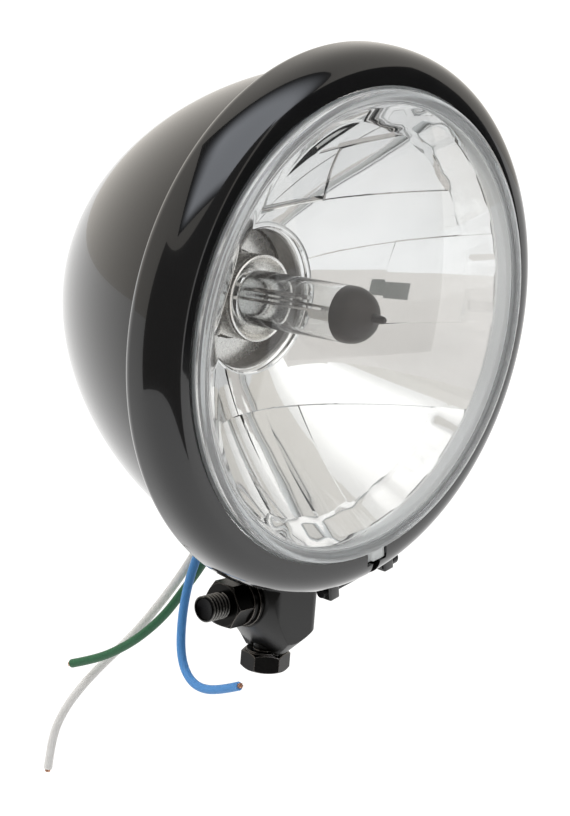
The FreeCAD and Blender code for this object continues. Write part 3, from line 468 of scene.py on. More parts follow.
boolean(lens, clamp_block("lens_nub", NUB_SPOT, NUB_SIZE, NUB_BEVEL), "UNION")
place(lens, "lamp", "lens_glass", "lens")

# %% [markdown]
# A bead of pale silicone seals the lens to the reflector. It is squeezed flat under the rim, wells up round
# it and laps over its front, so the glass shows a light edge and not the dark inside of the trim ring.

# %% Lay the lens seal
seal_section = [(70.6, 5.85), (70.6, 5.15), (73.65, 5.15), (73.65, 1.57), (69.6, 1.57), (69.6, 1.42),
                (73.0, 1.42), (74.2, 1.9), (74.8, 2.9), (75.1, 3.8), (75.2, 5.85), (70.6, 5.85)]
seal = lathe("silicone_seal", seal_section, AXIS)
place(seal, "lamp", "seal_rubber", "lens_seal")

# %% [markdown]
# The reflector is a moulded bowl with a mirror coat. Its basic form is a paraboloid, so light from the bulb
# leaves straight ahead, and stepped bands and upright facets spread that light over the road. Here a thick
# blank of the bowl is spun once. Each field of the mirror will be a piece sawn out of a copy of it.

# %% Spin the bowl's blank
BOWL_DEPTH = 41.93
BOWL_EDGE = 64.1
BOWL_EDGE_DEPTH = 5.9
BOWL_HOLE = 22.6
BOWL_POINTS = 26
FIELD_WALL = 4.5


def bowl_depth(radius):
    """How deep the paraboloid lies at a distance from the lens axis."""
    return BOWL_EDGE_DEPTH + BOWL_DEPTH * (1 - (radius / BOWL_EDGE) ** 2)


def bowl_chain(outer, inner, back, points):
    """The bowl's section between two distances from the axis, set back from its face."""
    radii = [outer + (inner - outer) * step / points for step in range(points + 1)]
    return [(radius, bowl_depth(radius) + back) for radius in radii]


blank_section = bowl_chain(BOWL_EDGE, BOWL_HOLE, 0.0, BOWL_POINTS)
blank_section += bowl_chain(BOWL_HOLE, BOWL_EDGE, FIELD_WALL, points=10) + blank_section[:1]
blank = lathe("bowl_blank", blank_section, AXIS)
print("blank", len(blank.data.polygons), "faces")

# %% [markdown]
# The saw always cuts front to back, so on the bowl a cut looks like a straight line when the lamp is seen
# head on. The upper lines rise to one side, as they do in a lamp that throws its dipped beam to the verge.
# A field is what is left on the right hand of all its lines, and bisect closes each cut with a flat wall.

# %% Saw lines
# Each step's height on the lens axis and how steeply it rises to the right
STEPS = [(43.9, 17.4), (26.8, 9.1), (4.9, 15.8), (-14.0, 7.0), (-32.0, 0.0)]
RIGHT_OF_CREASE = ((-2.3, 28.7), (0.434, 0.901))
RIGHT_OF_DIVIDER = ((15.5, 38.0), (-0.399, 0.917))


def other_side(line):
    """The same line, with the field on its other hand."""
    start, way = line
    return start, (-way[0], -way[1])


def below(number):
    """The line of a step, with the field below it."""
    height, rise = STEPS[number]
    return (0.0, height), (math.cos(math.radians(rise)), math.sin(math.radians(rise)))


def above(number):
    """The line of a step, with the field above it."""
    return other_side(below(number))


def between(left, right):
    """Two upright lines, with the field between them."""
    return [((left, 0.0), (0.0, 1.0)), ((right, 0.0), (0.0, -1.0))]


print("steps at", [height for height, rise in STEPS], "mm from the axis")

# %% [markdown]
# Each band stands a little further forward than the one above it, so the walls of the steps face up and
# catch the light as thin bright lines. Only the facets at the bottom are set back again. Some fields are
# also turned, by three degrees at most. Small turns are enough, because a mirror doubles every angle.

# %% List the fields
LEFT_OF_CREASE = other_side(RIGHT_OF_CREASE)
LEFT_OF_DIVIDER = other_side(RIGHT_OF_DIVIDER)
BAND_2 = [below(1), above(2)]
BAND_3 = [below(2), above(3)]
BAND_4 = [below(3), above(4)]
BAND_5 = [below(4)]
FAR_OUT = 80.0
# Each field: its lines, how far it is set back, and the place, axis and angle of its turn
FIELDS = [
    ([above(1), LEFT_OF_CREASE], 4.0, (-20.0, 45.0), "X", 0.0),
    ([above(0), RIGHT_OF_CREASE], 3.0, (25.0, 55.0), "X", 0.0),
    ([below(0), above(1), RIGHT_OF_CREASE, LEFT_OF_DIVIDER], 2.4, (10.0, 38.0), "X", 0.0),
    ([below(0), above(1), RIGHT_OF_DIVIDER], 1.6, (38.0, 40.0), "X", 0.5),
    (BAND_2, 1.0, (40.0, 20.0), "X", 0.0),
    (BAND_3 + between(-FAR_OUT, -42.0), 0.5, (-50.0, -8.0), "X", 0.0),
    (BAND_3 + between(-42.0, 42.0), 0.5, (30.0, 0.0), "X", 0.0),
    (BAND_3 + between(42.0, FAR_OUT), 0.5, (50.0, 5.0), "X", -1.0),
    (BAND_4 + between(-FAR_OUT, -34.0), 0.0, (-45.0, -25.0), "Z", 1.5),
    (BAND_4 + between(-34.0, -12.0), 0.0, (-23.0, -25.0), "Z", -1.5),
    (BAND_4 + between(-12.0, 26.0), 0.0, (5.0, -27.0), "X", 0.0),
    (BAND_4 + between(26.0, FAR_OUT), 0.0, (40.0, -20.0), "X", 0.5),
]
FACETS_BACK = 0.9
FACET_REACH = 42.0
FACET_HEIGHT = -45.0
FACET_EDGES = [-FAR_OUT, -30.0, -20.0, -10.0, 0.0, 14.0, 28.0, FAR_OUT]
FACET_TURNS = [0.0, 3.0, -3.0, 3.0, -2.0, 0.0, 0.0]
for left, right, turn_angle in zip(FACET_EDGES, FACET_EDGES[1:], FACET_TURNS):
    middle = (max(left, -FACET_REACH) + min(right, FACET_REACH)) / 2
    FIELDS.append((BAND_5 + between(left, right), FACETS_BACK, (middle, FACET_HEIGHT), "Z", turn_angle))
print(len(FIELDS), "fields,", len(FACET_TURNS), "of them upright facets")

# %% [markdown]
# Every field starts as a copy of the blank. Bisect cuts it along its lines, and what is left is set back
# and turned about a place on its own face.

# %% Saw out the fields
def saw(start, way):
    """Cuts off what lies to the left of a line seen head on, and closes the cut."""
    bpy.ops.object.mode_set(mode="EDIT")
    bpy.ops.mesh.select_mode(type="VERT")
    bpy.ops.mesh.select_all(action="SELECT")
    bpy.ops.mesh.bisect(plane_co=AXIS + Vector((start[0], 0, start[1])) * MM, plane_no=(-way[1], 0, way[0]),
                        use_fill=True, clear_outer=True)
    bpy.ops.object.mode_set(mode="OBJECT")


def make_field(lines, back, place_seen, axis, degrees):
    """A field sawn from a copy of the blank, set back and turned about a place on it."""
    piece = blank.copy()
    piece.data = blank.data.copy()
    bpy.context.scene.collection.objects.link(piece)
    select_only(piece)
    for start, way in lines:
        saw(start, way)
    across, up = place_seen
    pivot = AXIS + Vector((across, bowl_depth(math.hypot(across, up)) + back, up)) * MM
    bpy.ops.object.mode_set(mode="EDIT")
    bpy.ops.mesh.select_all(action="SELECT")
    bpy.ops.mesh.normals_make_consistent(inside=False)
    bpy.ops.transform.translate(value=BACKWARD * (back * MM))
    if degrees:
        bpy.ops.transform.rotate(value=math.radians(degrees), orient_axis=axis, center_override=pivot)
    bpy.ops.object.mode_set(mode="OBJECT")
    return piece


fields = [make_field(*field) for field in FIELDS]
bpy.data.objects.remove(blank)
print("fields", [len(field.data.polygons) for field in fields])

# %% [markdown]
# Round the edge of the bowl runs a border whose short sectors lie forward and back in turn, and it scatters
# the light at the rim. It is spun on its own, with a long chamfer down to the fields, and every second
# sector is picked by its place and pushed back.

# %% Spin the border
BORDER_WIDTH = 5.0
BORDER_SECTORS = 48
BORDER_SINK = 0.5
BORDER_CHAMFER = 1.6
BORDER_FOOT = 2.6
BORDER_LIP = 0.3


def pick(piece, wanted):
    """Selects the faces whose middle is wanted, by its place sideways and up, and stays in edit mode."""
    select_only(piece)
    bpy.ops.object.mode_set(mode="EDIT")
    bpy.ops.mesh.select_mode(type="FACE")
    bpy.ops.mesh.select_all(action="DESELECT")
    bpy.ops.object.mode_set(mode="OBJECT")
    for face in piece.data.polygons:
        middle = (face.center - AXIS) / MM
        face.select = wanted(middle.x, middle.z)
    bpy.ops.object.mode_set(mode="EDIT")


def sunk_sector(across, up):
    """Every second sector of the border, inside its outer edge."""
    sector = int((math.atan2(up, across) + math.pi) / math.tau * BORDER_SECTORS)
    return math.hypot(across, up) < BOWL_EDGE - BORDER_LIP and sector % 2 == 0


border_section = bowl_chain(BOWL_EDGE, BOWL_EDGE - BORDER_WIDTH, 0.0, points=5)
border_section += bowl_chain(BOWL_EDGE - BORDER_WIDTH - BORDER_CHAMFER, BOWL_EDGE, BORDER_FOOT, points=5)
border_section.append(border_section[0])
border = lathe("mirror_border", border_section, AXIS)
pick(border, sunk_sector)
bpy.ops.transform.translate(value=BACKWARD * (BORDER_SINK * MM))
bpy.ops.object.mode_set(mode="OBJECT")
print("border", len(border.data.polygons), "faces")

# %% [markdown]
# Behind the fields lies the moulding itself: the flange that the lens is bonded to, the plain bowl, a
# raised collar round the bulb's hole and the neck behind it. It is one sheet, spun and then thickened. A
# low wall on the flange centres the lens and shows as a pale band behind its border.

# %% Spin the moulding and join the mirror
NECK_RADIUS = 21.0
NECK_BACK = 53.2
REFLECTOR_FLANGE = 75.3
REFLECTOR_WALL = 1.5
BACKING = 4.9
RIM_WALL_FOOT = BOWL_EDGE + 0.1
RIM_WALL_INSIDE = 65.4
RIM_WALL_OUTSIDE = 65.8
RIM_WALL_TOP = 1.7
hole_depth = bowl_depth(BOWL_HOLE)
collar = [(BOWL_HOLE + 1.2, hole_depth + 0.8), (BOWL_HOLE + 0.8, hole_depth + 0.3),
          (BOWL_HOLE + 0.2, hole_depth + 0.1), (BOWL_HOLE - 0.4, hole_depth + 0.2),
          (BOWL_HOLE - 0.8, hole_depth + 0.6), (BOWL_HOLE - 0.8, hole_depth + 1.6)]
neck = [(NECK_RADIUS + 0.3, hole_depth + 1.8), (NECK_RADIUS, hole_depth + 2.2), (NECK_RADIUS, NECK_BACK)]
moulding_section = [(REFLECTOR_FLANGE, BOWL_EDGE_DEPTH), (BOWL_EDGE, BOWL_EDGE_DEPTH)]
moulding_section += bowl_chain(BOWL_EDGE, BOWL_HOLE + 1.6, BACKING, BOWL_POINTS) + collar + neck
moulding = lathe("reflector_mirror", moulding_section, AXIS)
sheet = moulding.modifiers.new("wall", "SOLIDIFY")
sheet.thickness = REFLECTOR_WALL * MM
sheet.offset = -1
bpy.ops.object.modifier_apply(modifier=sheet.name)
rim_section = [(RIM_WALL_FOOT, BOWL_EDGE_DEPTH), (RIM_WALL_INSIDE, RIM_WALL_TOP),
               (RIM_WALL_OUTSIDE, RIM_WALL_TOP), (RIM_WALL_OUTSIDE, BOWL_EDGE_DEPTH),
               (RIM_WALL_FOOT, BOWL_EDGE_DEPTH)]
rim_wall = lathe("rim_wall", rim_section, AXIS)
reflector = join([moulding, rim_wall, border] + fields)
place(reflector, "lamp", "reflector_metal", "reflector")

# %% [markdown]
# The bulb is a glass tube with a sealed nipple at the front and a tin collar behind. The front of the glass
# is painted dark so that no light leaves straight ahead. Glass and paint are two turned pieces of one
# outline.

# %% Turn the bulb
BULB_SEAT = 25.23
BULB = Vector((AXIS.x, BULB_SEAT * MM, AXIS.z))
BULB_BACK = Vector((0, 0.998, -0.0628)).normalized()
BULB_OUT = BULB_BACK.cross(SIDEWAYS) * -1
BULB_LINE = (BULB, BULB_BACK, BULB_OUT)
BULB_STEPS = 96
GLASS_RADIUS = 8.4
GLASS_WALL = 1.1
GLASS_BORE = GLASS_RADIUS - GLASS_WALL
PAINT_START = -45.5
PAINT_WALL = 0.5
DOME_CENTRE = -46.8
DOME_POINTS = 12
NIPPLE_POINTS = 2


def glass_front(radius):
    """The round front of the tube at a radius, from the nipple's foot to its side."""
    angles = [math.pi / 2 * step / DOME_POINTS for step in range(NIPPLE_POINTS, DOME_POINTS + 1)]
    return [(radius * math.sin(angle), DOME_CENTRE - radius * math.cos(angle)) for angle in angles]


nipple = [(0.0, -59.6), (0.6, -59.5), (1.0, -59.0), (1.2, -58.2), (1.25, -56.6), (1.35, -55.4)]
painted = nipple + glass_front(GLASS_RADIUS) + [(GLASS_RADIUS, PAINT_START)]
painted += [(GLASS_RADIUS - PAINT_WALL, PAINT_START)] + glass_front(GLASS_RADIUS - PAINT_WALL)[::-1]
painted += [(0.0, -55.3)]
bulb_tip = lathe("bulb_painted_tip", painted, *BULB_LINE, steps=BULB_STEPS)
place(bulb_tip, "lamp", "bulb_glass")
tube = [(GLASS_RADIUS, PAINT_START), (GLASS_RADIUS, -10.0), (GLASS_RADIUS - 0.4, -7.5),
        (GLASS_RADIUS - 1.0, -6.9), (0.0, -6.9), (0.0, -8.2), (5.0, -8.2), (GLASS_BORE - 0.6, -8.8),
        (GLASS_BORE, -10.5), (GLASS_BORE, PAINT_START), (GLASS_RADIUS, PAINT_START)]
bulb_tube = lathe("bulb_clear_tube", tube, *BULB_LINE, steps=BULB_STEPS)
place(bulb_tube, "lamp", "bulb_glass", "bulb_glass")

# %% [markdown]
# The bulb's cap is drawn from tinned steel: a seat flange, a collar that stands forward of it with a rolled
# front edge, and a funnel inside that holds the glass. One turned section gives all three.

# %% Draw the bulb's cap
CAP_STEPS = 128
funnel = [(0.0, -6.5), (7.2, -6.5), (9.5, -7.0), (11.0, -8.2), (11.8, -9.8), (12.0, -10.8)]
rolled_edge = [(12.2, -11.3), (12.6, -11.5), (13.0, -11.3), (13.15, -10.8), (13.0, -10.2)]
seat = [(12.9, -9.0), (12.9, -0.6), (13.5, 0.0), (22.3, 0.0), (22.6, 0.3), (22.6, 1.2), (22.3, 1.5)]
ferrule = [(11.5, 1.5), (11.0, 2.0), (11.0, 9.0), (10.5, 9.5), (0.0, 9.5)]
bulb_cap = lathe("bulb_cap", funnel + rolled_edge + seat + ferrule, *BULB_LINE, steps=CAP_STEPS)
place(bulb_cap, "lamp", "bulb_steel", "bulb_base")

# %% [markdown]
# The stud's free end is a rolled thread. A saw-tooth profile swept by the Screw modifier climbs one pitch
# in each turn, exactly as the rolling dies form it, round a plain core.

# %% Roll the stud's thread
STUD_RADIUS = 4.0
THREAD_PITCH = 1.25
THREAD_DEPTH = 0.7
THREAD_START = 0.4
THREAD_TURNS = 6
THREAD_STEPS = 48
ROOT = STUD_RADIUS - THREAD_DEPTH
CORE_RADIUS = ROOT + 0.02
CORE_STEPS = 64
SHANK_RADIUS = STUD_RADIUS - 0.05
STUD_LINE = (Vector(), -SIDEWAYS, UPWARD)
tooth = [(ROOT, 0.0), (ROOT, 0.12), (STUD_RADIUS, 0.5), (STUD_RADIUS, 0.66), (ROOT, 1.04),
         (ROOT, THREAD_PITCH)]
stud = draw_section("stud_thread", [(radius, far - THREAD_START) for radius, far in tooth], *STUD_LINE)
bpy.ops.object.mode_set(mode="OBJECT")
climb = stud.modifiers.new("thread", "SCREW")
climb.axis = "X"
climb.screw_offset = -THREAD_PITCH * MM
climb.iterations = THREAD_TURNS
climb.steps = THREAD_STEPS
climb.render_steps = THREAD_STEPS
climb.use_merge_vertices = True
climb.merge_threshold = MERGE_DISTANCE
bpy.ops.object.modifier_apply(modifier=climb.name)
core_section = [(0.0, 6.9), (2.6, 7.0), (3.1, 7.25), (3.45, 7.2), (3.6, 7.0), (3.6, 6.75), (CORE_RADIUS, 6.5),
                (CORE_RADIUS, 0.0), (SHANK_RADIUS, -0.4), (SHANK_RADIUS, -6.0), (0.0, -6.0)]
core = lathe("stud_core", core_section, *STUD_LINE, steps=CORE_STEPS)
stud = join([stud, core])
place(stud, "mount", "mount_steel", "mount_stud")

# %% [markdown]
# Each finish is a node material named for what the real surface is. Colours are written as they look on a
# screen and turned to linear light by one function, and one small function adds a node with its settings
# and its links. Patterns read Object coordinates, so a scale is simply one divided by the real size of the
# grain.

# %% Start the materials
def linear(colour):
    """A screen colour such as #808080 as linear light."""
    channels = [int(colour[place:place + 2], 16) / 255 for place in (1, 3, 5)]
    return (*[c / 12.92 if c <= 0.04045 else ((c + 0.055) / 1.055) ** 2.4 for c in channels], 1.0)


def link(tree, node, sources):
    """Links a node's inputs to the outputs that feed them."""
    for name, source in sources.items():
        tree.links.new(source, node.inputs[name])


def add_node(tree, kind, settings, links=None):
    """A node with its inputs and settings filled in and its inputs linked."""
    node = tree.nodes.new(kind)
    for name, value in settings.items():
        if isinstance(name, int) or name in node.inputs:
            node.inputs[name].default_value = value
        else:
            setattr(node, name, value)
    link(tree, node, links or {})
    return node


def start_material(name, **shader_settings):
    """A new material with its shader set: its tree, its shader and the Object coordinates."""
    material = bpy.data.materials.new(name)
    material.use_nodes = True
    tree = material.node_tree
    shader = tree.nodes["Principled BSDF"]
    for socket, value in shader_settings.items():
        shader.inputs[socket.replace("_", " ")].default_value = value
    where = add_node(tree, "ShaderNodeTexCoord", {}).outputs["Object"]
    return material, tree, shader, where


def grain(size):
    """A pattern scale from the size of its grain in millimetres."""
    return 1 / (size * MM)


def wear(piece, material):
    """Puts a finish on a piece or on a solid of the frame."""
    piece.data.materials.clear()
    piece.data.materials.append(material)


print("a grain of 1 mm has a scale of", round(grain(1)))

# %% [markdown]
# The shell and ring are sprayed with gloss black enamel. Fresh paint is never optically flat: it dries with
# a faint orange peel of a few millimetres, and a little dust dulls it in places. A clear coat on top gives
# the mirror that the studio shows in.

# %% Gloss black enamel
# A deep black under a clear mirror coat: sharp pale reflections, almost no colour of its own.
def enamel(name, dark, light):
    """Sprayed black paint with orange peel, its two blacks mottled by dust."""
    material, tree, shader, where = start_material(name, IOR=1.3, Coat_Weight=1.0, Coat_IOR=1.5,
                                                   Coat_Roughness=0.03)
    dust = add_node(tree, "ShaderNodeTexNoise", {"Scale": grain(14), "Detail": 6.0}, {"Vector": where})
    tone = add_node(tree, "ShaderNodeMix", {"data_type": "RGBA", 6: linear(dark), 7: linear(light)},
                    {"Factor": dust.outputs["Fac"]})
    haze = add_node(tree, "ShaderNodeMapRange", {"To Min": 0.08, "To Max": 0.2},
                    {"Value": dust.outputs["Fac"]})
    peel = add_node(tree, "ShaderNodeTexNoise", {"Scale": grain(2.6), "Detail": 2.0}, {"Vector": where})
    bump = add_node(tree, "ShaderNodeBump", {"Strength": 0.1, "Distance": 0.02 * MM},
                    {"Height": peel.outputs["Fac"]})
    link(tree, shader, {"Base Color": tone.outputs[2], "Roughness": haze.outputs["Result"],
                        "Normal": bump.outputs["Normal"], "Coat Normal": bump.outputs["Normal"]})
    return material


wear(shell, enamel("gloss_black_enamel_shell", "#0c0c0c", "#151413"))
wear(ring, enamel("gloss_black_enamel_ring", "#0b0b0c", "#131313"))
print("enamel on shell and ring")

# %% [markdown]
# The lens is clear. Its middle is polished, with only a few faint wipes, and its pressed border is finely
# frosted, which is the pale band that runs round inside the ring.

# %% Clear pressed glass
# Nearly invisible face on, bright at its rim where light is trapped and bent.
FROST_START = 63.8
FROST_FULL = 65.0
FROST_CLEARNESS = 0.84
FROST_ROUGHNESS = 0.1
WIPE_ROUGHNESS = 0.015


def radius_from_axis(tree, where):
    """How far a point lies from the lens axis, in metres."""
    centred = add_node(tree, "ShaderNodeMapping", {"Location": (-AXIS.x, 0, -AXIS.z)}, {"Vector": where})
    flat = add_node(tree, "ShaderNodeVectorMath", {"operation": "MULTIPLY", 1: (1, 0, 1)},
                    {0: centred.outputs["Vector"]})
    reach = add_node(tree, "ShaderNodeVectorMath", {"operation": "LENGTH"}, {0: flat.outputs[0]})
    return reach.outputs["Value"]


lens_clear, tree, shader, where = start_material("clear_pressed_glass", IOR=1.5)
smear = add_node(tree, "ShaderNodeTexNoise", {"Scale": grain(20), "Detail": 8.0}, {"Vector": where})
frosted = add_node(tree, "ShaderNodeMapRange",
                   {"interpolation_type": "SMOOTHSTEP", "From Min": FROST_START * MM,
                    "From Max": FROST_FULL * MM},
                   {"Value": radius_from_axis(tree, where)})
see_through = add_node(tree, "ShaderNodeMapRange", {"To Min": 1.0, "To Max": FROST_CLEARNESS},
                       {"Value": frosted.outputs["Result"]})
frosting = add_node(tree, "ShaderNodeMath", {"operation": "MULTIPLY", 1: FROST_ROUGHNESS},
                    {0: frosted.outputs["Result"]})
haze = add_node(tree, "ShaderNodeMath", {"operation": "MULTIPLY_ADD", 1: WIPE_ROUGHNESS},
                {0: smear.outputs["Fac"], 2: frosting.outputs[0]})
tint = add_node(tree, "ShaderNodeMix", {"data_type": "RGBA", 6: linear("#f9fbfb"), 7: linear("#ffffff")},
                {"Factor": smear.outputs["Fac"]})
link(tree, shader, {"Base Color": tint.outputs[2], "Roughness": haze.outputs[0],
                    "Transmission Weight": see_through.outputs["Result"]})
wear(lens, lens_clear)
print("glass on lens")

# %% [markdown]
# The mirror coat is aluminium laid on in a vacuum chamber over lacquered plastic. It is as bright as
# polished metal and picks up the ripple of the moulding below. Over the grained flat rim it looks pale and
# dull, and deep in the bulb's neck the coat runs out. Two masks tell these places apart, by depth and by
# radius.

# %% Vacuum aluminium
# A bright, even mirror whose reflections wander with the moulding's ripple.
COAT_THINS = AXIS.y + (hole_depth + 2.0) * MM
COAT_GONE = AXIS.y + (hole_depth + 4.5) * MM
RIM_BEGINS = (BOWL_EDGE + 0.4) * MM
MIRROR_ENDS = (BOWL_EDGE - 0.1) * MM
mirror_coat, tree, shader, where = start_material("vacuum_aluminium")
ripple = add_node(tree, "ShaderNodeTexNoise", {"Scale": grain(16), "Detail": 1.0}, {"Vector": where})
depth = add_node(tree, "ShaderNodeSeparateXYZ", {}, {"Vector": where})
coated = add_node(tree, "ShaderNodeMapRange",
                  {"From Min": COAT_THINS, "From Max": COAT_GONE, "To Min": 1.0, "To Max": 0.0},
                  {"Value": depth.outputs["Y"]})
inside_rim = add_node(tree, "ShaderNodeMapRange", {"From Min": RIM_BEGINS, "From Max": MIRROR_ENDS},
                      {"Value": radius_from_axis(tree, where)})
mirrored = add_node(tree, "ShaderNodeMath", {"operation": "MULTIPLY"},
                    {0: coated.outputs["Result"], 1: inside_rim.outputs["Result"]})
dull = add_node(tree, "ShaderNodeMapRange", {"To Min": 0.4, "To Max": 0.03}, {"Value": mirrored.outputs[0]})
bump = add_node(tree, "ShaderNodeBump", {"Strength": 0.15, "Distance": 0.3 * MM},
                {"Height": ripple.outputs["Fac"]})
link(tree, shader, {"Metallic": coated.outputs["Result"], "Roughness": dull.outputs["Result"],
                    "Normal": bump.outputs["Normal"]})
print("coat from the rim to", round((COAT_GONE - AXIS.y) / MM, 1), "mm deep")

# %% [markdown]
# The same masks choose the colour: bright in the bowl, pale on the rim, and sooty dark plastic in the neck.
# Each of the three is mottled a little, because no real surface is one even tone.

# %% Colours of the mirror
soot = add_node(tree, "ShaderNodeTexNoise", {"Scale": grain(1.2), "Detail": 6.0}, {"Vector": where})
# Each place's darker and lighter tone, and the pattern that mottles them
MIRROR_TONES = {
    "bowl": ("#e6e6e6", "#f0f0f0", ripple),
    "neck": ("#332f2b", "#7d766e", soot),
    "rim": ("#e6ebee", "#eff3f5", ripple),
}
tones = {}
for spot, (dark, light, pattern) in MIRROR_TONES.items():
    mottled = add_node(tree, "ShaderNodeMix", {"data_type": "RGBA", 6: linear(dark), 7: linear(light)},
                       {"Factor": pattern.outputs["Fac"]})
    tones[spot] = mottled.outputs[2]
bowl_tone = add_node(tree, "ShaderNodeMix", {"data_type": "RGBA"},
                     {"Factor": coated.outputs["Result"], 6: tones["neck"], 7: tones["bowl"]})
tone = add_node(tree, "ShaderNodeMix", {"data_type": "RGBA"},
                {"Factor": inside_rim.outputs["Result"], 6: tones["rim"], 7: bowl_tone.outputs[2]})
link(tree, shader, {"Base Color": tone.outputs[2]})
wear(reflector, mirror_coat)
print("mirror on reflector")

# %% [markdown]
# The remaining finishes share one recipe: two close tones mottled by a fine grain, a roughness that follows
# the same grain, and a slight bump. What differs is the colour, the shine and the size of the grain. Solids
# with square edges also get them rounded in the shader, because a real edge is never sharp and catches the
# light. Where the rounded surface turns away from the flat one lies an edge, and there a lighter colour can
# be laid, which is partly wear through the finish and partly a painted highlight.

# %% A recipe for plain finishes
STILL_FLAT = 0.995
FULL_EDGE = 0.9


def finish(name, dark, light, grain_size, smoothest, roughest, relief, edge=0.0, worn_highlight=None,
           **shader_settings):
    """Two tones with a grain, a range of roughness, a relief and edges of wear and painted highlight, sizes
    in millimetres.
    """
    material, tree, shader, where = start_material(name, **shader_settings)
    noise = add_node(tree, "ShaderNodeTexNoise", {"Scale": grain(grain_size), "Detail": 4.0},
                     {"Vector": where})
    tone = add_node(tree, "ShaderNodeMix", {"data_type": "RGBA", 6: linear(dark), 7: linear(light)},
                    {"Factor": noise.outputs["Fac"]})
    haze = add_node(tree, "ShaderNodeMapRange", {"To Min": smoothest, "To Max": roughest},
                    {"Value": noise.outputs["Fac"]})
    bump = add_node(tree, "ShaderNodeBump", {"Strength": 0.4, "Distance": relief * MM},
                    {"Height": noise.outputs["Fac"]})
    if edge:
        rounded_edge_normal = add_node(tree, "ShaderNodeBevel", {"Radius": edge * MM, "samples": 6}).outputs["Normal"]
        link(tree, bump, {"Normal": rounded_edge_normal})
    # The edges' lighter colour is partly wear and partly a painted highlight.
    if edge and worn_highlight:
        facing = add_node(tree, "ShaderNodeNewGeometry", {}).outputs["True Normal"]
        flatness = add_node(tree, "ShaderNodeVectorMath", {"operation": "DOT_PRODUCT"}, {0: rounded_edge_normal, 1: facing})
        on_edge = add_node(tree, "ShaderNodeMapRange", {"From Min": STILL_FLAT, "From Max": FULL_EDGE},
                           {"Value": flatness.outputs["Value"]})
        tone = add_node(tree, "ShaderNodeMix", {"data_type": "RGBA", 7: linear(worn_highlight)},
                        {"Factor": on_edge.outputs["Result"], 6: tone.outputs[2]})
    link(tree, shader, {"Base Color": tone.outputs[2], "Roughness": haze.outputs["Result"],
                        "Normal": bump.outputs["Normal"]})
    return material

# %% [markdown]
# The metals come first. How they were made shows in the grain: plating and oxide are fine and dark, drawn
# wire is bright, and sheet has a softer mottling.

# %% Metal finishes
# Black oxide on steel: near black, with grey edges that are partly spanner wear and partly a painted
# highlight.
black_oxide = finish("black_oxide_steel", "#19191a", "#2a2927", 0.8, 0.18, 0.3, 0.004, edge=0.45,
                     worn_highlight="#7a7570", Metallic=1.0)
# Dark zinc plating on the clamp screw: a dull grey that sets it off from the ring's black.
dark_zinc = finish("dark_zinc_steel", "#2c2c2e", "#3a3a3b", 0.5, 0.3, 0.45, 0.01, edge=0.3, Metallic=0.9)
# Tinned bulb steel: pale satin metal with drawn sheet's soft mottling.
bulb_tin = finish("satin_tinned_steel", "#f1efec", "#f9f8f6", 1.5, 0.22, 0.32, 0.003, Metallic=1.0)
# Nickel on the shield, wires and spring of the bulb: a bright warm grey with sharp small highlights.
bright_nickel = finish("bright_nickel_wire", "#b9b6b2", "#d2d0cd", 0.6, 0.12, 0.25, 0.005, Metallic=1.0)
# Bare brass blades: a clean yellow metal with a soft sheen.
blade_brass = finish("stamped_brass", "#a98a45", "#c2a35a", 0.6, 0.25, 0.4, 0.005, Metallic=1.0)
# Bare drawn copper strands: pale pink metal, a little dulled by air.
bare_copper = finish("bare_copper_strand", "#c08a6c", "#dba98b", 0.4, 0.3, 0.45, 0.01, Metallic=0.8)
print("metals mixed")

# %% [markdown]
# Paint, rubber, plastic and the bulb's glass follow. They have no metal's shine, so their roughness is what
# tells them apart: the bulb is polished, paint has a satin sheen, and rubber is nearly dull.

# %% Paint, rubber, plastic and glass finishes
# Satin powder coat on the cast block: a fine even texture that spreads highlights.
powder_coat = finish("satin_black_powder_coat", "#0e0e0e", "#181817", 0.6, 0.28, 0.42, 0.015, edge=0.6)
# Heat-proof paint on the bulb's tip: warm dark grey with a satin sheen.
bulb_paint = finish("heat_proof_bulb_paint", "#423d3a", "#4c4643", 0.5, 0.3, 0.4, 0.002, Metallic=0.3)
# Moulded rubber of the gasket, boot and grommet: dull black with a fine grain.
black_rubber = finish("black_moulded_rubber", "#171717", "#222222", 0.7, 0.55, 0.75, 0.02)
# Silicone bead between lens and reflector: pale grey, dull, seen through the lens's rim.
grey_silicone = finish("grey_silicone_bead", "#e4e9eb", "#eef2f3", 1.6, 0.45, 0.6, 0.03)
# Moulded nylon of the insulator and plug: black with a slight sheen.
black_nylon = finish("black_moulded_nylon", "#1a1a1a", "#262626", 0.5, 0.4, 0.55, 0.01)
# Clear tube of the bulb: polished, seen by its bent edges and highlights alone.
bulb_clear = finish("clear_bulb_glass", "#f6f8f8", "#ffffff", 6.0, 0.0, 0.02, 0.002, Transmission_Weight=1.0,
                    IOR=1.47)
# Soft vinyl insulation: plain colour, a faint sheen, fine scuffs.
VINYL_TONES = {"white": ("#f3f1ed", "#fbfaf7"), "green": ("#1f5f3b", "#2f7049"),
               "blue": ("#4f9ce6", "#68acf0")}
vinyl = {colour: finish(colour + "_vinyl_insulation", dark, light, 1.2, 0.4, 0.55, 0.02)
         for colour, (dark, light) in VINYL_TONES.items()}
print("paint, rubber, plastic and glass mixed")
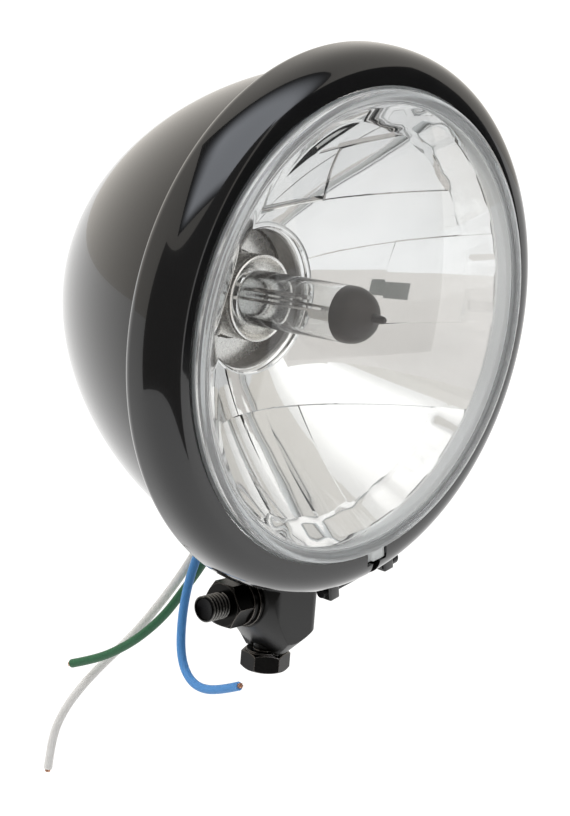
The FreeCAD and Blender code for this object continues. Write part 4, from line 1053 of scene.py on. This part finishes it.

# %% [markdown]
# The stud is blackened steel too, but nuts have run over it, and their rubbing has left the crests of its
# thread bright; the crests are lightened further as a painted highlight. How far a point lies from the
# stud's own axis tells crest from root, and a scratchy noise keeps the wear and the painted highlight uneven.

# %% Rubbed thread
# Dark flanks with thin steel-grey lines along the crests, partly wear and partly a painted highlight.
CREST_STARTS = ROOT + 0.25
worn_highlit_thread, tree, shader, where = start_material("worn_highlit_black_oxide_thread", Metallic=1.0)
off_axis = add_node(tree, "ShaderNodeVectorMath", {"operation": "MULTIPLY", 1: (0, 1, 1)}, {0: where})
from_stud = add_node(tree, "ShaderNodeVectorMath", {"operation": "LENGTH"}, {0: off_axis.outputs[0]})
scuff_and_glint = add_node(tree, "ShaderNodeTexNoise", {"Scale": grain(0.5), "Detail": 4.0}, {"Vector": where})
crest = add_node(tree, "ShaderNodeMapRange", {"From Min": CREST_STARTS * MM, "From Max": STUD_RADIUS * MM},
                 {"Value": from_stud.outputs["Value"]})
# The crests' lighter colour is partly wear and partly a painted highlight.
worn_highlight = add_node(tree, "ShaderNodeMath", {"operation": "MULTIPLY"},
                  {0: crest.outputs["Result"], 1: scuff_and_glint.outputs["Fac"]})
tone = add_node(tree, "ShaderNodeMix", {"data_type": "RGBA", 6: linear("#1b1b1c"), 7: linear("#b4b2ae")},
                {"Factor": worn_highlight.outputs[0]})
haze = add_node(tree, "ShaderNodeMapRange", {"To Min": 0.2, "To Max": 0.4}, {"Value": scuff_and_glint.outputs["Fac"]})
link(tree, shader, {"Base Color": tone.outputs[2], "Roughness": haze.outputs["Result"]})
wear(stud, worn_highlit_thread)
print("thread rubbed")

# %% [markdown]
# Every solid that is left as packed, and every modelled piece that has none yet, now gets its finish.

# %% Finish the solids
NODE_FINISHES = {
    "trim_ring_screw": dark_zinc, "seat_gasket": black_rubber,
    "rubber_boot": black_rubber, "wire_grommet": black_rubber,
    "filament_shield": bright_nickel, "support_wires": bright_nickel, "filaments": bright_nickel,
    "bulb_insulator": black_nylon, "plug_connector": black_nylon, "terminal_blades": blade_brass,
    "retaining_clip": bright_nickel, "mount_block": powder_coat,
    "mount_bolt": black_oxide, "bolt_washer": black_oxide, "bolt_nut": black_oxide,
    "stud_nut": black_oxide, "spring_washer": black_oxide, "flat_washer": black_oxide,
}
for node, material in NODE_FINISHES.items():
    wear(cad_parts[node], material)
for colour, wire in wires.items():
    wear(copper[colour], bare_copper)
    wear(wire, vinyl[colour])
    wear(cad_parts[colour + "_lead"], vinyl[colour])
wear(seal, grey_silicone)
wear(bulb_tip, bulb_paint)
wear(bulb_tube, bulb_clear)
wear(bulb_cap, bulb_tin)
print("finishes on", len(NODE_FINISHES), "solids")

# %% [markdown]
# The studio is a white sweep with a large soft light overhead and dark cloths at the sides, which are what
# gloss paint shows as its dark zones. Sky and floor look white to the camera and a little less so in
# mirrors, and they shed no more light than that on the lamp itself, so that black stays black.

# %% Light the sky
SKY_LEVEL = 0.8


def white_for_eyes(tree, mirrored, lit):
    """A strength of 1 for the camera, another for what mirrors and glass show, and one for the light shed."""
    path = add_node(tree, "ShaderNodeLightPath", {})
    in_mirror = add_node(tree, "ShaderNodeMath", {"operation": "MAXIMUM"},
                         {0: path.outputs["Is Glossy Ray"], 1: path.outputs["Is Transmission Ray"]})
    shown = add_node(tree, "ShaderNodeMath", {"operation": "MULTIPLY_ADD", 1: mirrored - lit, 2: lit},
                     {0: in_mirror.outputs[0]})
    return add_node(tree, "ShaderNodeMath", {"operation": "MAXIMUM"},
                    {0: shown.outputs[0], 1: path.outputs["Is Camera Ray"]}).outputs[0]


world = bpy.data.worlds.new("white_studio")
bpy.context.scene.world = world
world.use_nodes = True
sky = world.node_tree
path = add_node(sky, "ShaderNodeLightPath", {})
warm = add_node(sky, "ShaderNodeMix", {"data_type": "RGBA", 6: linear("#fffaf2"), 7: linear("#ffffff")},
                {"Factor": path.outputs["Is Camera Ray"]})
link(sky, sky.nodes["Background"], {"Color": warm.outputs[2],
                                    "Strength": white_for_eyes(sky, SKY_LEVEL, SKY_LEVEL)})
print("sky at", SKY_LEVEL)

# %% [markdown]
# The floor is a wide sheet of paper well below the lamp, as if the lamp were held up by its stud. It is one
# plane, and its glow, not more light on the lamp, is what makes it white.

# %% Lay the floor
FLOOR_DROP = -0.60
FLOOR_SIZE = 40.0
FLOOR_IN_MIRRORS = 0.85
FLOOR_SHEDS = 0.5
bpy.ops.object.select_all(action="DESELECT")
bpy.ops.mesh.primitive_plane_add(size=FLOOR_SIZE, location=(0, 0, FLOOR_DROP))
floor = bpy.context.object
floor.name = "studio_floor"
paper, tree, shader, where = start_material("white_paper_sweep", Roughness=0.9, Specular_IOR_Level=0.0,
                                            Emission_Color=linear("#ffffff"))
fibre = add_node(tree, "ShaderNodeTexNoise", {"Scale": grain(30), "Detail": 4.0}, {"Vector": where})
tone = add_node(tree, "ShaderNodeMix", {"data_type": "RGBA", 6: linear("#747474"), 7: linear("#7a7a7a")},
                {"Factor": fibre.outputs["Fac"]})
link(tree, shader, {"Base Color": tone.outputs[2],
                    "Emission Strength": white_for_eyes(tree, FLOOR_IN_MIRRORS, FLOOR_SHEDS)})
wear(floor, paper)
print("floor at", FLOOR_DROP, "m")

# %% [markdown]
# One long softbox hangs overhead, in front of the lamp, and is the pale patch on the ring and the glare in
# the reflector. It is two things in one place: an area light that lights the lamp, which comes first, and a
# sheet that mirrors show.

# %% Hang the softbox
SOFTBOX_HEIGHT = 1.2
SOFTBOX_FORWARD = -1.44
SOFTBOX_LENGTH = 4.8
SOFTBOX_WIDTH = 2.0
SOFTBOX_TURN = math.radians(31 - 90)
SOFTBOX_WATTS = 66
softbox_place = (0, SOFTBOX_FORWARD, SOFTBOX_HEIGHT + AXIS.z)
bpy.ops.object.select_all(action="DESELECT")
bpy.ops.object.light_add(type="AREA", location=softbox_place, rotation=(0, 0, SOFTBOX_TURN))
softbox = bpy.context.object
softbox.name = "overhead_softbox"
softbox.data.shape = "RECTANGLE"
softbox.data.size = SOFTBOX_LENGTH
softbox.data.size_y = SOFTBOX_WIDTH
softbox.data.energy = SOFTBOX_WATTS
softbox.data.color = linear("#f4f8ff")[:3]
softbox.visible_glossy = False
softbox.visible_transmission = False
print("softbox of", SOFTBOX_LENGTH, "by", SOFTBOX_WIDTH, "m")

# %% [markdown]
# The sheet is the softbox's nylon front, which fades towards its edges. A mirror behind a lens gathers so
# much light that a photographer shades it, so the nylon has another level where it is seen through glass.

# %% Stretch its nylon front
NYLON_GLOW = 2.8
NYLON_SHADED = 1.5
NYLON_SHADED_EDGE = 1.0
# How far from the middle the glow is still full, and where it ends, in shares of the sheet's sides
FADE_ALONG = 0.36
FADE_ACROSS = 0.24
FADE_END = 0.5


def by_glass(tree, plain, behind_glass):
    """One level for what is seen openly and another for what is seen through glass."""
    path = add_node(tree, "ShaderNodeLightPath", {})
    passed = add_node(tree, "ShaderNodeMath", {"operation": "GREATER_THAN", 1: 0.5},
                      {0: path.outputs["Transmission Depth"]})
    return add_node(tree, "ShaderNodeMapRange", {"To Min": plain, "To Max": behind_glass},
                    {"Value": passed.outputs[0]}).outputs["Result"]


bpy.ops.object.select_all(action="DESELECT")
bpy.ops.mesh.primitive_plane_add(size=1, location=softbox_place, rotation=(0, 0, SOFTBOX_TURN))
diffuser = bpy.context.object
diffuser.name = "softbox_diffuser"
diffuser.scale = (SOFTBOX_LENGTH, SOFTBOX_WIDTH, 1)
diffuser.visible_camera = False
diffuser.visible_diffuse = False
diffuser.visible_shadow = False
nylon, tree, shader, where = start_material("softbox_nylon", Roughness=1.0, Base_Color=linear("#000000"))
whiter = add_node(tree, "ShaderNodeMix", {"data_type": "RGBA", 6: linear("#f1f6ff"), 7: linear("#fffdfa")},
                  {"Factor": by_glass(tree, 0.0, 1.0)})
sides = add_node(tree, "ShaderNodeVectorMath", {"operation": "ABSOLUTE"}, {0: where})
split_sides = add_node(tree, "ShaderNodeSeparateXYZ", {}, {"Vector": sides.outputs[0]})
fades = []
for side, full in (("X", FADE_ALONG), ("Y", FADE_ACROSS)):
    fade = add_node(tree, "ShaderNodeMapRange",
                    {"interpolation_type": "SMOOTHSTEP", "From Min": FADE_END, "From Max": full},
                    {"Value": split_sides.outputs[side]})
    fades.append(fade.outputs["Result"])
faded = add_node(tree, "ShaderNodeMath", {"operation": "MULTIPLY"}, {0: fades[0], 1: fades[1]})
glow = add_node(tree, "ShaderNodeMapRange", {},
                {"Value": faded.outputs[0], "To Min": by_glass(tree, 0.0, NYLON_SHADED_EDGE),
                 "To Max": by_glass(tree, NYLON_GLOW, NYLON_SHADED)})
link(tree, shader, {"Emission Color": whiter.outputs[2], "Emission Strength": glow.outputs["Result"]})
wear(diffuser, nylon)
print("nylon glows at", NYLON_GLOW, "and at", NYLON_SHADED, "behind glass")

# %% [markdown]
# Gloss black needs something dark to mirror, or it looks grey. Photographers hang dark cloths round such an
# object, out of the picture. Here they are upright sheets on a circle round the lamp, which the camera
# itself doesn't see. A small dark stand below the camera is the patch that the mirror shows beside the
# bulb's tip.

# %% Hang the dark cloths
CLOTH_STEPS = 24
# Each cloth's bearings and heights in degrees, its distance in metres, its level seen openly and through
# glass, and its tint
CLOTHS = {
    "left_cloth": ((-118, 22), (-30, 25), 1.5, (0.12, 0.84), "#fffaf5"),
    "black_card": ((26, 60), (-14, 20), 1.4, (0.02, 0.84), "#ffffff"),
    "dark_stand": ((-34.4, -24), (-19.5, -11.2), 1.35, (0.12, 0.17), "#f2f5ec"),
}


def hang_cloth(name, bearings, heights, radius, levels, tint):
    """A sheet on a circle round the lamp, between two bearings and two heights in degrees."""
    first = math.radians(bearings[0])
    outwards = Vector((math.sin(first), -math.cos(first), 0))
    foot, top = (math.tan(math.radians(angle)) * radius / MM for angle in heights)
    section = [(radius / MM, foot), (radius / MM, top)]
    sweep = math.radians(bearings[0] - bearings[1])
    cloth = lathe(name, section, Vector((0, 0, AXIS.z)), UPWARD, outwards, steps=CLOTH_STEPS, sweep=sweep)
    cloth.visible_camera = False
    cloth.visible_shadow = False
    material, tree, shader, where = start_material(name + "_cotton", Roughness=1.0,
                                                   Base_Color=linear("#050505"), Emission_Color=linear(tint))
    link(tree, shader, {"Emission Strength": by_glass(tree, *levels)})
    wear(cloth, material)


for name, cloth in CLOTHS.items():
    hang_cloth(name, *cloth)
print("hung", ", ".join(CLOTHS))
